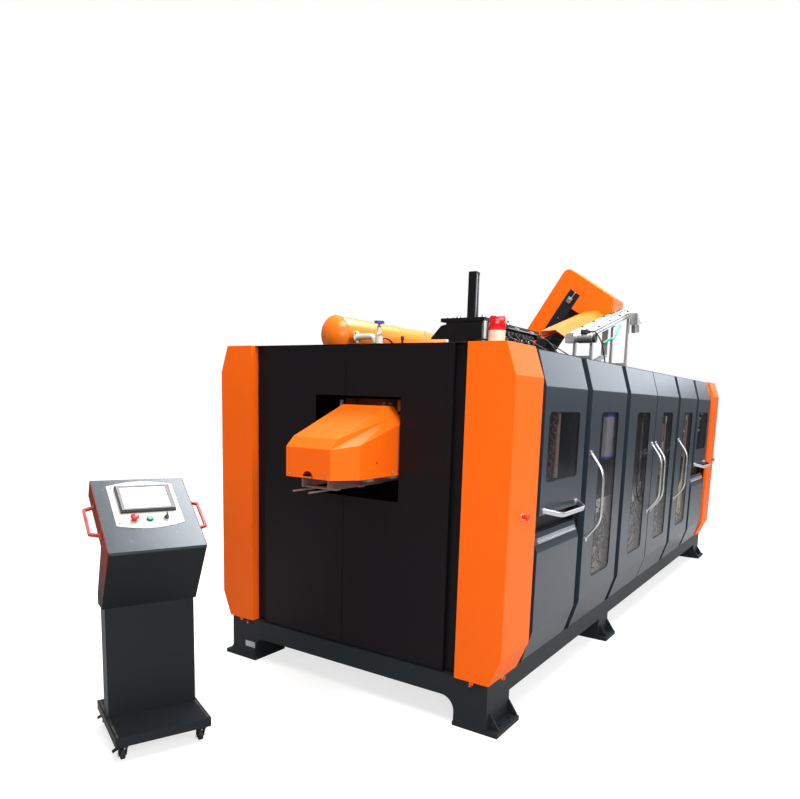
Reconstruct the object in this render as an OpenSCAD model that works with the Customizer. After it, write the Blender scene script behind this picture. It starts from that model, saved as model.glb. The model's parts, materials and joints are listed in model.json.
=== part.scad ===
// Linear stretch blow moulding machine with its operator station.
// X runs along the machine away from the discharge end, the doors face -Y, Z is up.
// The origin is on the floor, at the middle of the four corner feet.

/* [Cabinet] */
// Length over the two ends
machine_len = 5760; // [5600:10:6000]
// Height of the roof
cabinet_h = 2100; // [2080:5:2160]
// Width over the corner covers at their bulge
bulge_w = 2124; // [2104:4:2164]
// Length of a corner cover along the machine
cover_len = 355; // [300:5:380]
// Width of a corner cover's end face at the roof
cover_face_w = 220; // [200:5:240]
// How far a corner cover leans in at the roof
cover_top_lean = 59; // [40:1:80]
// How far a corner cover leans in at its foot
cover_foot_lean = 67; // [50:1:80]
// How far the upper fold of a corner cover lies below the roof
cover_knee_drop = 167; // [140:1:200]
// Height of the lower fold of a corner cover
cover_knee_foot = 447; // [430:5:480]
// Depth of the folded edges of the sheets
fold_d = 30; // [20:1:40]
// Thickness of the cabinet sheets
sheet_t = 3; // [2:0.5:4]

/* [Doors] */
// How far the doors stand behind the corner covers
door_step = 12; // [8:1:18]
// How far a door leans in at its top
door_top_lean = 60; // [50:1:70]
// How far a door leans in at its foot
door_foot_lean = 58; // [50:1:62]
// How far the upper fold of a door lies below the roof
door_knee_drop = 208; // [190:2:230]
// Height of the lower fold of a door
door_knee_foot = 485; // [470:1:500]
// How far the doors' top edge lies below the roof
door_top_drop = 10; // [4:1:30]
// Height of the doors' bottom edge
door_foot = 294; // [292:1:300]
// Depth of a door from its bulge to its back edge
door_d = 80; // [76:1:84]
// Gap between a corner cover and the first door
edge_gap = 75; // [70:1:80]
// Width of the first and last door
door_a_w = 675; // [660:5:690]
// Width of the second and fifth door
door_b_w = 775; // [760:5:790]
// Gap between two doors
mullion_w = 100; // [90:2:110]
// Seam between the two middle doors
seam_w = 20; // [12:1:24]
// Height of the flap's bottom edge
flap_foot = 1165; // [1150:1:1180]
// Height of the fold-down panel's top edge
panel_top = 1055; // [1030:1:1070]
// Height of the band at the top of the fold-down panel
band_h = 105; // [80:1:120]

/* [Windows and handles] */
// Width of a tall window
tall_win_w = 390; // [340:5:420]
// Height of the tall windows' bottom edge
tall_win_foot = 612; // [580:1:660]
// Height of the windows' top edge
win_top = 1756; // [1720:1:1790]
// Width of a flap's window
flap_win_w = 500; // [420:5:520]
// Height of a flap window's bottom edge
flap_win_foot = 1350; // [1320:1:1400]
// Corner radius of the windows
win_r = 38; // [20:1:50]
// Thickness of the window panes
pane_t = 5; // [4:1:8]
// Height of the middle of the tall handles
handle_z = 1196; // [1180:1:1230]
// Height of a tall handle between its ends
handle_h = 582; // [540:2:600]
// Length of a flap handle between its ends
flap_handle_w = 530; // [500:5:560]
// How far the handles stand out from the doors
handle_out = 92; // [80:1:110]
// Width of a handle's bar
bar_w = 30; // [24:1:34]
// Thickness of a handle's bar
bar_t = 14; // [10:1:16]

/* [Base frame] */
// Height of the base frame's top face
beam_top = 286; // [284:1:288]
// Height of the base beams
beam_h = 123; // [110:1:140]
// Width of the base beams
beam_w = 120; // [100:5:130]
// Length of a foot along the machine
foot_len = 285; // [250:5:300]
// Distance of the middle feet from the discharge end
mid_foot_x = 2010; // [1900:10:2800]
// Thickness of the foot plates
foot_plate_t = 25; // [20:1:30]
// How far a foot plate reaches out past its leg
foot_out = 70; // [65:1:90]
// Radius of the anchor holes
anchor_r = 11; // [9:0.5:14]
// Distance between the two anchor holes of a foot
anchor_pitch = 110; // [90:5:130]
// Radius of the rounded corner between end beam and leg
portal_r = 82; // [60:1:100]

/* [Discharge end] */
// How far the end panels stand behind the corner covers
panel_back = 28; // [20:1:34]
// Half of the width over both end panels
panel_half_w = 690; // [680:1:700]
// Offset of the panel seam from the middle
panel_seam = 40; // [0:1:60]
// Clear width of the discharge window
win_w = 621; // [600:1:640]
// Clear height of the discharge window
win_h = 592; // [560:1:620]
// Height of the discharge window's bottom edge
win_foot = 1214; // [1200:1:1230]
// Offset of the discharge line from the middle, to the door side
line_y = 105; // [90:1:120]
// How far the hood stands out past the corner covers
hood_out = 450; // [400:5:480]
// Height of the hood's bottom edge
hood_foot = 1368; // [1360:1:1380]

/* [Blow station] */
// Distance of the clamp's middle from the discharge end
clamp_x = 1400; // [1350:5:1450]
// Number of mould cavities
cavities = 4; // [2:1:4]
// Distance between the cavities
cavity_pitch = 150; // [130:1:160]
// Radius of a bottle's body
bottle_r = 52; // [40:1:56]
// Height of a bottle below its neck ring
bottle_h = 300; // [250:5:330]
// Travel of each mould half
mould_travel = 110; // [90:1:130]
// Radius of the tie bars
tie_r = 30; // [24:1:36]
// Running clearance of sliding and turning pieces
run_gap = 0.3; // [0.2:0.1:0.6]

/* [Roof] */
// Radius of the air tank
tank_r = 130; // [110:1:150]
// Length of the air tank between its heads
tank_len = 1400; // [1200:10:1600]
// Radius of the signal lamp
lamp_r = 46; // [40:1:50]
// Height of the signal lamp's base
lamp_base_h = 74; // [60:1:90]
// Height of the signal lamp's lens
lamp_lens_h = 81; // [70:1:100]
// Height of the mast above its plate
mast_h = 305; // [250:5:350]

/* [Preform feed] */
// Distance of the elevator's near face from the discharge end
elev_x = 3190; // [3150:5:3240]
// Width of the elevator
elev_w = 300; // [260:5:340]
// Lean of the elevator from the floor, in degrees
elev_deg = 56.5; // [56:0.5:57]
// Height of the unscrambler's low end
feed_up = 245; // [230:1:260]
// Slope of the unscrambler in degrees
feed_deg = 15.3; // [14:0.1:17]
// Length of the unscrambler's side rails
feed_len = 1215; // [1150:5:1250]
// Radius of an unscrambler roller
roller_r = 24; // [18:1:25]

/* [Operator station] */
// Width of the station
station_w = 459; // [440:1:480]
// Depth of the station's base
station_d = 500; // [480:5:540]
// Height of the column's fold
station_knee = 716; // [690:2:740]
// Height of the panel's lower edge
desk_low = 1047; // [1030:1:1070]
// Rise of the panel
desk_rise = 285; // [270:1:300]
// Run of the panel
desk_run = 450; // [430:1:470]
// Radius of a caster wheel
wheel_r = 25; // [22:1:30]

/* [Hidden] */
$fn = 48;

// Colours
orange = "#f8641c";
dark_sheet = "#262628";
door_grey = "#3c464c";
base_grey = "#3a4241";
steel = "#b9bcbf";
silver = "#cfd2d4";
tank_yellow = "#f7a52a";
glass = "#1b2026";

// Gap of pieces that only seat on each other, and a cut's overshoot
seat = 0.3;
cut = 1;

// Half sizes and lines that the pieces share
half_len = machine_len / 2;
cover_knee_top = cabinet_h - cover_knee_drop;
door_knee_top = cabinet_h - door_knee_drop;
door_top = cabinet_h - door_top_drop;
feed_z = cabinet_h + feed_up;
cover_y = bulge_w / 2;
cover_in = cover_y - cover_top_lean - cover_face_w;
door_y = cover_y - door_step;
door_back = door_y - door_d;
frame_y = door_back - seat;
beam_y = cover_y - cover_foot_lean - 10;
beam_foot = beam_top - beam_h;
foot_in = beam_y - 205;
end_x = panel_back + sheet_t;
post_x = end_x + fold_d - sheet_t;
post_w = 80;
end0 = end_x - 17;
anchor_d = end0 + foot_len * 0.58;
rail_h = 80;
rail_top = cabinet_h - sheet_t;
rail_y0 = frame_y - 90;

// Door edges measured from the discharge end, in the order of the doors
a0 = cover_len + edge_gap;
a1 = a0 + door_a_w;
b0 = a1 + mullion_w;
b1 = b0 + door_b_w;
c0 = b1 + mullion_w;
c1 = half_len - seam_w / 2;
door_edges = [[a0, a1], [b0, b1], [c0, c1],
  [machine_len - c1, machine_len - c0], [machine_len - b1, machine_len - b0],
  [machine_len - a1, machine_len - a0]];
// Middle of each gap between bays, with the gap's width
gaps = [[cover_len + edge_gap / 2, edge_gap], [a1 + mullion_w / 2, mullion_w],
  [b1 + mullion_w / 2, mullion_w], [machine_len - b1 - mullion_w / 2, mullion_w],
  [machine_len - a1 - mullion_w / 2, mullion_w],
  [machine_len - cover_len - edge_gap / 2, edge_gap]];
// Columns beside the bays, from edge to edge, with the recessed strip of each
columns = [for (gap = gaps) [max(gap[0] - gap[1] / 2 - 15, cover_len + seat),
  min(gap[0] + gap[1] / 2 + 15, machine_len - cover_len - seat)]];

// Middles of the posts on the base frame's cross members
clamp_legs = [clamp_x - 380, clamp_x + 380];
rail_posts = [clamp_x - 540, clamp_x + 540];
loop_posts = [3740, 4940];
oven_posts = [3160, 4560];

// The windows sit a little off the middle of their doors
win_shift = 20;

// Distance from the discharge end, as an X of the part
function at(d) = d - half_len;

// Extrudes an outline of Y and Z along X, from d0 to d1 measured from the discharge end
module along_x(d0, d1) {
  translate([at(d0), 0, 0])
    rotate([90, 0, 90])
      linear_extrude(d1 - d0)
        children();
}

// Extrudes an outline of X and Z along Y, from y0 to y1
module along_y(y0, y1) {
  translate([0, y1, 0])
    rotate([90, 0, 0])
      linear_extrude(y1 - y0)
        children();
}

// A block from corner to corner, its X measured from the discharge end
module block(d0, d1, y0, y1, z0, z1) {
  translate([at(d0), y0, z0])
    cube([d1 - d0, y1 - y0, z1 - z0]);
}

// A round bar along X, Y or Z
module bar_x(d0, d1, y, z, r) {
  translate([at(d0), y, z])
    rotate([0, 90, 0])
      cylinder(r = r, h = d1 - d0);
}

module bar_y(d, y0, y1, z, r) {
  translate([at(d), y0, z])
    rotate([-90, 0, 0])
      cylinder(r = r, h = y1 - y0);
}

module bar_z(d, y, z0, z1, r) {
  translate([at(d), y, z0])
    cylinder(r = r, h = z1 - z0);
}

module on_door_side() {
  mirror([0, 1, 0])
    children();
}

module both_sides() {
  children();
  mirror([0, 1, 0])
    children();
}

// Repeats at the far end what is drawn at the discharge end
module both_ends() {
  children();
  mirror([1, 0, 0])
    children();
}

// A rectangle with round corners, from its lower left corner
module round_rect(w, h, r) {
  translate([r, 0])
    square([w - 2 * r, h]);
  translate([0, r])
    square([w, h - 2 * r]);
  for (x = [r, w - r], y = [r, h - r])
    translate([x, y])
      circle(r);
}

// A bent flat bar: straight pieces of one thickness with round joints
module bent_bar(pts, t) {
  for (i = [0:len(pts) - 2]) {
    step = pts[i + 1] - pts[i];
    translate(pts[i])
      rotate(atan2(step[1], step[0]))
        translate([0, -t / 2])
          square([norm(step), t]);
  }
  for (i = [1:len(pts) - 2])
    translate(pts[i])
      circle(t / 2);
}

// Base frame

module foot(d0, d1, hole_d) {
  hole_y = beam_y + foot_out / 2 - 5;
  difference() {
    union() {
      block(d0, d1, foot_in, beam_y, foot_plate_t, beam_foot);
      block(d0, d1, foot_in - 6, beam_y + foot_out, 0, foot_plate_t);
      for (d = [d0 + foot_len * 0.14, d1 - 12])
        along_x(d, d + 12)
          polygon([[beam_y - cut, foot_plate_t - cut], [beam_y + foot_out - 10, foot_plate_t - cut],
            [beam_y + foot_out - 10, foot_plate_t + 4], [beam_y, foot_plate_t + 88],
            [beam_y - cut, foot_plate_t + 88]]);
    }
    for (s = [-0.5, 0.5])
      translate([at(hole_d) + s * anchor_pitch, hole_y, -cut])
        cylinder(r = anchor_r, h = foot_plate_t + 2 * cut);
  }
}

// The end beam with its legs is one portal with large round inner corners
module end_portal() {
  along_x(end0, end0 + beam_w) {
    translate([0, beam_foot])
      square([beam_y, beam_h]);
    difference() {
      translate([foot_in - portal_r, beam_foot - portal_r])
        square(portal_r + cut);
      translate([foot_in - portal_r, beam_foot - portal_r])
        circle(portal_r);
    }
  }
}

module base_frame() {
  color(base_grey)
    union() {
      both_sides() {
        block(end0, machine_len - end0, beam_y - beam_w, beam_y, beam_foot, beam_top);
        both_ends() {
          end_portal();
          foot(end0, end0 + foot_len, anchor_d);
        }
        foot(mid_foot_x - 112, mid_foot_x + 112, mid_foot_x);
      }
      for (d = concat(rail_posts, clamp_legs, loop_posts, oven_posts))
        block(d - 40, d + 40, -beam_y + beam_w - cut, beam_y - beam_w + cut, beam_foot + 20, beam_top);
    }
}

// Cabinet frame: bolted from columns, rails and recessed strips, each a solid of its own

// Outline of a recessed strip between two doors, following their folds
module strip_outline() {
  in = 45;
  polygon([[frame_y - 10, door_knee_foot - 116], [frame_y, door_knee_foot - 116],
    [door_y - in, door_knee_foot], [door_y - in, door_knee_top],
    [frame_y, door_knee_top + 116], [frame_y - 10, door_knee_top + 116]]);
}

module bay_column(n) {
  gap = gaps[n];
  union() {
    block(columns[n][0], columns[n][1], rail_y0, frame_y, beam_top, rail_top - rail_h - seat);
    along_x(gap[0] - gap[1] / 2 + 4, gap[0] + gap[1] / 2 - 4)
      strip_outline();
  }
}

module cabinet_frame() {
  rail_in = cover_in - 80;
  color(dark_sheet) {
    both_sides() {
      for (n = [0:len(gaps) - 1])
        bay_column(n);
      block(cover_len + 5, machine_len - cover_len - 5, rail_y0, frame_y - 12,
        rail_top - rail_h, rail_top);
      both_ends() {
        block(post_x, post_x + post_w, cover_in - seat - 142, cover_in - seat,
          beam_top, rail_top);
        // Rail behind the opening between flap and fold-down panel
        block(a0 + 15 + seat, a1 - 15 - seat, rail_y0 + 30, frame_y, panel_top - 20, flap_foot + 20);
      }
      block(post_x + post_w + seat, machine_len - post_x - post_w - seat, rail_in, cover_in - seat,
        rail_top - rail_h, rail_top);
    }
    both_ends()
      block(post_x, post_x + post_w, -cover_in + 142 + 2 * seat, cover_in - 142 - 2 * seat,
        rail_top - rail_h, rail_top);
    for (d = [clamp_x - 520, clamp_x + 700, elev_x + 190, 4500])
      block(d, d + 60, -rail_in + seat, rail_in - seat, rail_top - 60, rail_top);
    both_sides()
      for (gap = gaps)
        block(gap[0] - 30, gap[0] + 30, cover_in, rail_y0 - seat, rail_top - 60, rail_top);
  }
}

// Corner covers

// Outline of a corner cover, drawn in by t
module cover_outline(t, inner) {
  polygon([[inner, beam_top + t], [cover_y - cover_foot_lean - t, beam_top + t],
    [cover_y - t, cover_knee_foot + t / 3], [cover_y - t, cover_knee_top - t / 3],
    [cover_y - cover_top_lean - t, cabinet_h - t], [inner, cabinet_h - t]]);
}

stop_d = 165;
stop_z = 1200;
stop_r = 11;

module corner_cover() {
  difference() {
    along_x(0, cover_len)
      cover_outline(0, cover_in);
    along_x(sheet_t, cover_len - sheet_t)
      cover_outline(sheet_t, cover_in + sheet_t);
    along_x(post_x, cover_len - sheet_t)
      translate([cover_in - cut, beam_top + sheet_t])
        square([sheet_t + 2 * cut, cabinet_h - beam_top - 2 * sheet_t]);
    along_x(cover_len - sheet_t - cut, cover_len + cut)
      cover_outline(fold_d, cover_in - cut);
    bar_y(stop_d, cover_y - 2 * fold_d, cover_y + cut, stop_z, stop_r + run_gap);
  }
  // Fixing tabs under the bottom edge
  for (tab = [[0, cover_y - cover_foot_lean - 116, sheet_t, 24],
      [stop_d, cover_y - cover_foot_lean - sheet_t, 24, sheet_t]])
    difference() {
      block(tab[0], tab[0] + tab[2], tab[1], tab[1] + tab[3], beam_top - 16, beam_top + cut);
      translate([at(tab[0]) + tab[2] / 2, tab[1] + tab[3] / 2, beam_top - 8])
        rotate(tab[2] > tab[3] ? [90, 0, 0] : [0, 90, 0])
          cylinder(r = 4, h = 4 * sheet_t, center = true);
    }
}

module corner_covers() {
  color(orange)
    both_sides()
      both_ends()
        corner_cover();
}

// Stop button on a corner cover: a round head on a stem through the sheet
module cover_stop() {
  color("#d8281c")
    on_door_side()
      translate([at(stop_d), cover_y, stop_z])
        rotate([-90, 0, 0]) {
          translate([0, 0, -fold_d])
            cylinder(r = stop_r, h = fold_d + 26);
          translate([0, 0, 24])
            rotate_extrude()
              polygon([[0, 0], [13, 0], [20, 8], [20, 14], [17, 19], [0, 21]]);
        }
}

module stop_near() {
  cover_stop();
}

module stop_far() {
  mirror([1, 0, 0])
    cover_stop();
}

// End panels at the discharge end, with the window cut across their seam

win_y0 = -line_y + 370 - win_w;

module panel_tray(d, y0, y1, z0, z1) {
  difference() {
    block(d, d + fold_d, y0, y1, z0, z1);
    block(d + sheet_t, d + fold_d + cut, y0 + sheet_t, y1 - sheet_t, z0 + sheet_t, z1 - sheet_t);
  }
}

module end_panels() {
  color(dark_sheet)
    difference() {
      union() {
        panel_tray(panel_back, -panel_half_w, panel_seam - 1.5, beam_top, cabinet_h - 6);
        panel_tray(panel_back, panel_seam + 1.5, panel_half_w, beam_top, cabinet_h - 6);
      }
      block(0, post_x + post_w, win_y0, win_y0 + win_w, win_foot, win_foot + win_h);
    }
}

// Roof sheet, plain back panels and far end panels

module roof() {
  difference() {
    union() {
      block(cover_len + seat, machine_len - cover_len - seat, -frame_y + 12, frame_y - 12,
        rail_top, cabinet_h);
      block(panel_back, machine_len - panel_back, -cover_in + seat, cover_in - seat,
        rail_top, cabinet_h);
    }
    // Opening over the blow station
    block(clamp_x - 330, clamp_x + 330, -line_y - 190, -line_y + 190, rail_top - cut, cabinet_h + cut);
    // Opening for the preform rails
    block(feed_d + 40, feed_d + 230, feed_y - 40, feed_y + 40, rail_top - cut, cabinet_h + cut);
  }
}

// Outline of a door, drawn in by t
module door_outline(t, back) {
  polygon([[back, door_foot + t], [door_y - door_foot_lean - t, door_foot + t],
    [door_y - t, door_knee_foot + t / 3], [door_y - t, door_knee_top - t / 3],
    [door_y - door_top_lean - t, door_top - t], [back, door_top - t]]);
}

// A folded door skin: face, two folds and four returns, open at the back
module door_skin(edges) {
  difference() {
    along_x(edges[0], edges[1])
      door_outline(0, door_back);
    along_x(edges[0] + sheet_t, edges[1] - sheet_t)
      door_outline(sheet_t, door_back - cut);
  }
}

module shell_panels() {
  color(dark_sheet) {
    roof();
    for (edges = door_edges)
      door_skin(edges);
    mirror([1, 0, 0]) {
      panel_tray(panel_back, -panel_half_w, -1.5, beam_top, cabinet_h - 6);
      panel_tray(panel_back, 1.5, panel_half_w, beam_top, cabinet_h - 6);
    }
  }
}

// Doors, windows and handles of the door side

// Cuts a window with round corners through a door's face
module window_hole(mid, w, z0, z1, grow, y0, y1) {
  along_y(y0, y1)
    translate([at(mid) - w / 2 - grow, z0 - grow])
      round_rect(w + 2 * grow, z1 - z0 + 2 * grow, win_r + grow);
}

module tall_door(n) {
  edges = door_edges[n];
  color(door_grey)
    on_door_side()
      difference() {
        door_skin(edges);
        window_hole((edges[0] + edges[1]) / 2 + win_shift, tall_win_w, tall_win_foot, win_top, 0,
          door_y - 2 * sheet_t, door_y + cut);
      }
}

module flap_outline(t, back) {
  polygon([[back, flap_foot + t], [door_y - t, flap_foot + t], [door_y - t, door_knee_top - t / 3],
    [door_y - door_top_lean - t, door_top - t], [back, door_top - t]]);
}

module flap(n) {
  edges = door_edges[n];
  color(door_grey)
    on_door_side()
      difference() {
        along_x(edges[0], edges[1])
          flap_outline(0, door_back);
        along_x(edges[0] + sheet_t, edges[1] - sheet_t)
          flap_outline(sheet_t, door_back - cut);
        window_hole((edges[0] + edges[1]) / 2 - win_shift, flap_win_w, flap_win_foot, win_top, 0,
          door_y - 2 * sheet_t, door_y + cut);
      }
}

band_in = 36;

module low_outline(t, back) {
  polygon([[back, door_foot + t], [door_y - door_foot_lean - t, door_foot + t],
    [door_y - t, door_knee_foot + t / 3], [door_y - t, panel_top - band_h - t / 3],
    [door_y - band_in - t, panel_top - t], [back, panel_top - t]]);
}

// Fold-down panel with a strip grip along its sloped top band
module low_panel(n) {
  edges = door_edges[n];
  mid = (edges[0] + edges[1]) / 2;
  grip_z = panel_top - band_h * 0.42;
  grip_y = door_y - band_in * 0.58;
  color(door_grey)
    on_door_side() {
      difference() {
        along_x(edges[0], edges[1])
          low_outline(0, door_back);
        along_x(edges[0] + sheet_t, edges[1] - sheet_t)
          low_outline(sheet_t, door_back - cut);
      }
      // The grip is a shallow angle profile
      along_x(mid - 305, mid + 305)
        translate([grip_y, grip_z])
          rotate(atan2(band_in, band_h))
            polygon([[-sheet_t / 2, -16], [12, -16], [12, -11], [5, -9], [5, 11], [12, 13], [12, 16],
              [-sheet_t / 2, 16]]);
    }
}

module door_1_flap() {
  flap(0);
}

module door_1_panel() {
  low_panel(0);
}

module door_2() {
  tall_door(1);
}

module door_3() {
  tall_door(2);
}

module door_4() {
  tall_door(3);
}

module door_5() {
  tall_door(4);
}

module door_6_flap() {
  flap(5);
}

module door_6_panel() {
  low_panel(5);
}

// A window pane seats flat on the back of its door's face
module pane(n) {
  edges = door_edges[n];
  tall = n > 0 && n < 5;
  mid = (edges[0] + edges[1]) / 2 + (tall ? win_shift : -win_shift);
  color(glass)
    on_door_side()
      window_hole(mid, tall ? tall_win_w : flap_win_w, tall ? tall_win_foot : flap_win_foot,
        win_top, 18, door_y - sheet_t - pane_t, door_y - sheet_t);
}

module window_1() {
  pane(0);
}

module window_2() {
  pane(1);
}

module window_3() {
  pane(2);
}

module window_4() {
  pane(3);
}

module window_5() {
  pane(4);
}

module window_6() {
  pane(5);
}

// Tall handle: a bent flat bar with two fixing pads on the door's face
module tall_handle(mid) {
  pad = 6;
  half = handle_h / 2;
  straight = half - 128;
  color(silver)
    on_door_side() {
      along_x(mid - bar_w / 2, mid + bar_w / 2)
        difference() {
          bent_bar([[door_y - bar_t, handle_z + half + bar_t], [door_y + handle_out, handle_z + straight],
            [door_y + handle_out, handle_z - straight], [door_y - bar_t, handle_z - half - bar_t]], bar_t);
          translate([door_y - 3 * bar_t, handle_z - handle_h])
            square([3 * bar_t + pad / 2, 2 * handle_h]);
        }
      for (s = [-1, 1])
        along_y(door_y, door_y + pad)
          translate([at(mid), handle_z + s * (half - 2)])
            circle(bar_w / 2 + 4);
    }
}

// Flap handle: the same bar lying down, drooping a little
module flap_handle(mid) {
  pad = 6;
  half = flap_handle_w / 2;
  pad_z = flap_foot + 27;
  color(silver)
    on_door_side() {
      translate([at(mid), door_y, pad_z])
        difference() {
          rotate([-16, 0, 0])
            linear_extrude(bar_w, center = true)
              bent_bar([[-half - bar_t, -bar_t], [-half + 75, handle_out], [half - 75, handle_out],
                [half + bar_t, -bar_t]], bar_t);
          translate([-flap_handle_w, -3 * handle_out, -handle_out])
            cube([2 * flap_handle_w, 3 * handle_out + pad / 2, 2 * handle_out]);
        }
      for (s = [-1, 1])
        along_y(door_y, door_y + pad)
          translate([at(mid) + s * (half - 2), pad_z])
            circle(bar_w / 2 + 4);
    }
}

handle_edge = 52;

module handle_1() {
  flap_handle((a0 + a1) / 2 - win_shift);
}

module handle_2() {
  tall_handle(b0 + handle_edge);
}

module handle_3() {
  tall_handle(c1 - handle_edge);
}

module handle_4() {
  tall_handle(machine_len - c1 + handle_edge);
}

module handle_5() {
  tall_handle(machine_len - b1 + handle_edge);
}

module handle_6() {
  flap_handle(machine_len - (a0 + a1) / 2 - win_shift);
}

// Discharge hood: a folded sheet cover, open below and at the back

hood_y = -line_y;
hood_half = 153;
hood_cheek = 88;
hood_front_h = 159;
hood_band = 56;
hood_top_h = 386;

// The top form, drawn in by t: front face, band, rising top and the steep facet beside it
module hood_top(t) {
  hull()
    for (p = [[-hood_out + t, hood_foot - (t > 0 ? cut : 0), hood_foot + hood_front_h - t],
        [-hood_out + hood_band + t, hood_foot - (t > 0 ? cut : 0), hood_foot + 212 - t],
        [end_x - 10, hood_foot - (t > 0 ? cut : 0), hood_foot + hood_top_h - t],
        [post_x + 40 + (t > 0 ? cut : 0), hood_foot - (t > 0 ? cut : 0), hood_foot + hood_top_h - t]])
      block(p[0], p[0] + 0.1, hood_y - hood_half + t, hood_y + hood_half - t, p[1], p[2]);
}

// The steep facet widens downward to the shelf's inner line
module hood_facet(t) {
  hull() {
    block(-hood_out + t, -hood_out + t + 0.1, hood_y - hood_half + t, hood_y, hood_foot,
      hood_foot + hood_front_h - t);
    block(-hood_out + hood_band + t, -hood_out + hood_band + t + 0.1, hood_y - hood_half + t, hood_y,
      hood_foot, hood_foot + 212 - t);
    block(end_x - 10, post_x + 40 + (t > 0 ? cut : 0), hood_y - hood_half + t, hood_y, hood_foot,
      hood_foot + hood_top_h - t);
    block(end_x - 10, post_x + 40 + (t > 0 ? cut : 0), hood_y - hood_half - 50 + t, hood_y, hood_foot,
      hood_foot + 325 - t);
  }
}

// The cheek: chamfer, side face and shelf
module hood_side(t) {
  hull() {
    block(-hood_out + t, -hood_out + t + 0.1, hood_y - hood_half + t, hood_y,
      hood_foot - (t > 0 ? cut : 0), hood_foot + hood_front_h - t);
    block(-hood_out + 132, -hood_out + 132.1, hood_y - hood_half - hood_cheek + t, hood_y,
      hood_foot - (t > 0 ? cut : 0), hood_foot + 180 - t);
    block(end_x - 10, post_x + 40 + (t > 0 ? cut : 0), hood_y - hood_half - hood_cheek + t, hood_y,
      hood_foot - (t > 0 ? cut : 0), hood_foot + 281 - t);
    block(end_x - 10, post_x + 40 + (t > 0 ? cut : 0), hood_y - hood_half - 50 + t, hood_y,
      hood_foot - (t > 0 ? cut : 0), hood_foot + 325 - t);
  }
}

module hood_form(t) {
  hood_top(t);
  hood_facet(t);
  hood_side(t);
}

module discharge_hood() {
  color(orange)
    difference() {
      hood_form(0);
      hood_form(sheet_t);
      // Notch for the rail's nose, and the small round hole in the cheek
      bar_x(-hood_out - cut, -hood_out + 20, hood_y, hood_foot, 38);
      bar_y(-165, hood_y - hood_half - hood_cheek - cut, hood_y - hood_half, 1450, 7);
    }
}

// Blow station inside the cabinet

plate_y = 560;
plate_t = 50;
mould_h = bottle_h + 70;
mould_z = 870;
mould_top = mould_z + mould_h;
bed_z = mould_z - 110;
mould_len = cavities * cavity_pitch + 40;
mould_t = 95;
platen_t = 45;
platen_in = mould_travel + mould_t;
clamp_half = 440;
tie_d = clamp_half - 70;
tie_z = [mould_z - 60, mould_top + 10];
clamp_top = mould_top + 160;
ram_z = mould_z + mould_h / 2;
ram_r = 30;
ram_len = 125;

module clamp_frame() {
  color("#5a6064") {
    // Legs, bed and the two end plates with their four tie bars
    for (d = clamp_legs, y = [-line_y - 480, -line_y + 400])
      block(d - 40, d + 40, y, y + 80, beam_top, bed_z - 60);
    block(clamp_x - clamp_half, clamp_x + clamp_half, -line_y - plate_y, -line_y + plate_y,
      bed_z - 60, bed_z);
    // End plates with their clamp rams
    translate([0, -line_y, 0])
      both_sides()
        difference() {
          union() {
            block(clamp_x - clamp_half, clamp_x + clamp_half, plate_y - plate_t, plate_y,
              bed_z - cut, clamp_top);
            bar_y(clamp_x, plate_y - cut, plate_y + ram_len, ram_z, 70);
          }
          bar_y(clamp_x, plate_y - plate_t - cut, plate_y + ram_len - 15, ram_z, ram_r + run_gap);
        }
    for (s = [-1, 1], z = tie_z)
      bar_y(clamp_x + s * tie_d, -line_y - plate_y + 40, -line_y + plate_y - 40, z, tie_r);
    // Bottom mould with its raised base pads
    block(clamp_x - mould_len / 2, clamp_x + mould_len / 2, -line_y - 60, -line_y + 60,
      bed_z, mould_z - 30);
    for (i = [0:cavities - 1])
      bar_z(clamp_x + (i - (cavities - 1) / 2) * cavity_pitch, -line_y, mould_z - 31, mould_z - 4,
        bottle_r - 12);
  }
}

// Form of one bottle below its neck: foot, ribbed body, shoulder and neck
module bottle_form() {
  shoulder = bottle_h * 0.68;
  rib = shoulder / 6;
  rotate_extrude()
    polygon(concat([[0, -20], [bottle_r - 10, -20], [bottle_r - 4, 4]],
      [for (i = [0:4]) each [[bottle_r, rib * i + 10], [bottle_r, rib * i + rib * 0.75],
        [bottle_r - 3, rib * i + rib * 0.9]]],
      [[bottle_r, shoulder], [bottle_r * 0.72, bottle_h * 0.86], [15, bottle_h], [14, mould_h + cut],
        [0, mould_h + cut]]));
}

// One mould half on its platen, cut for the tie bars and the cavities
module mould_half() {
  color("#8e959a")
    difference() {
      union() {
        block(clamp_x - mould_len / 2, clamp_x + mould_len / 2, -line_y + mould_travel,
          -line_y + mould_travel + mould_t + cut, mould_z, mould_top);
        block(clamp_x - clamp_half + 20, clamp_x + clamp_half - 20, -line_y + platen_in,
          -line_y + platen_in + platen_t, bed_z + 5, mould_top + 58);
        // Ram rod, long enough to stay in its end plate when the mould is shut
        bar_y(clamp_x, -line_y + platen_in + platen_t - cut, -line_y + plate_y + ram_len - 20,
          ram_z, ram_r);
      }
      for (i = [0:cavities - 1])
        translate([at(clamp_x) + (i - (cavities - 1) / 2) * cavity_pitch, -line_y + mould_travel, mould_z])
          bottle_form();
      for (s = [-1, 1], z = tie_z)
        bar_y(clamp_x + s * tie_d, 0, plate_y, z, tie_r + run_gap);
    }
}

module mould_left() {
  mould_half();
}

module mould_right() {
  translate([0, -2 * line_y, 0])
    mirror([0, 1, 0])
      mould_half();
}

bridge_z = cabinet_h - 140;
guide_r = 20;
guide_d = 290;
// Gap round a shaft that a long frame carries
wide_gap = 0.8;

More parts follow.
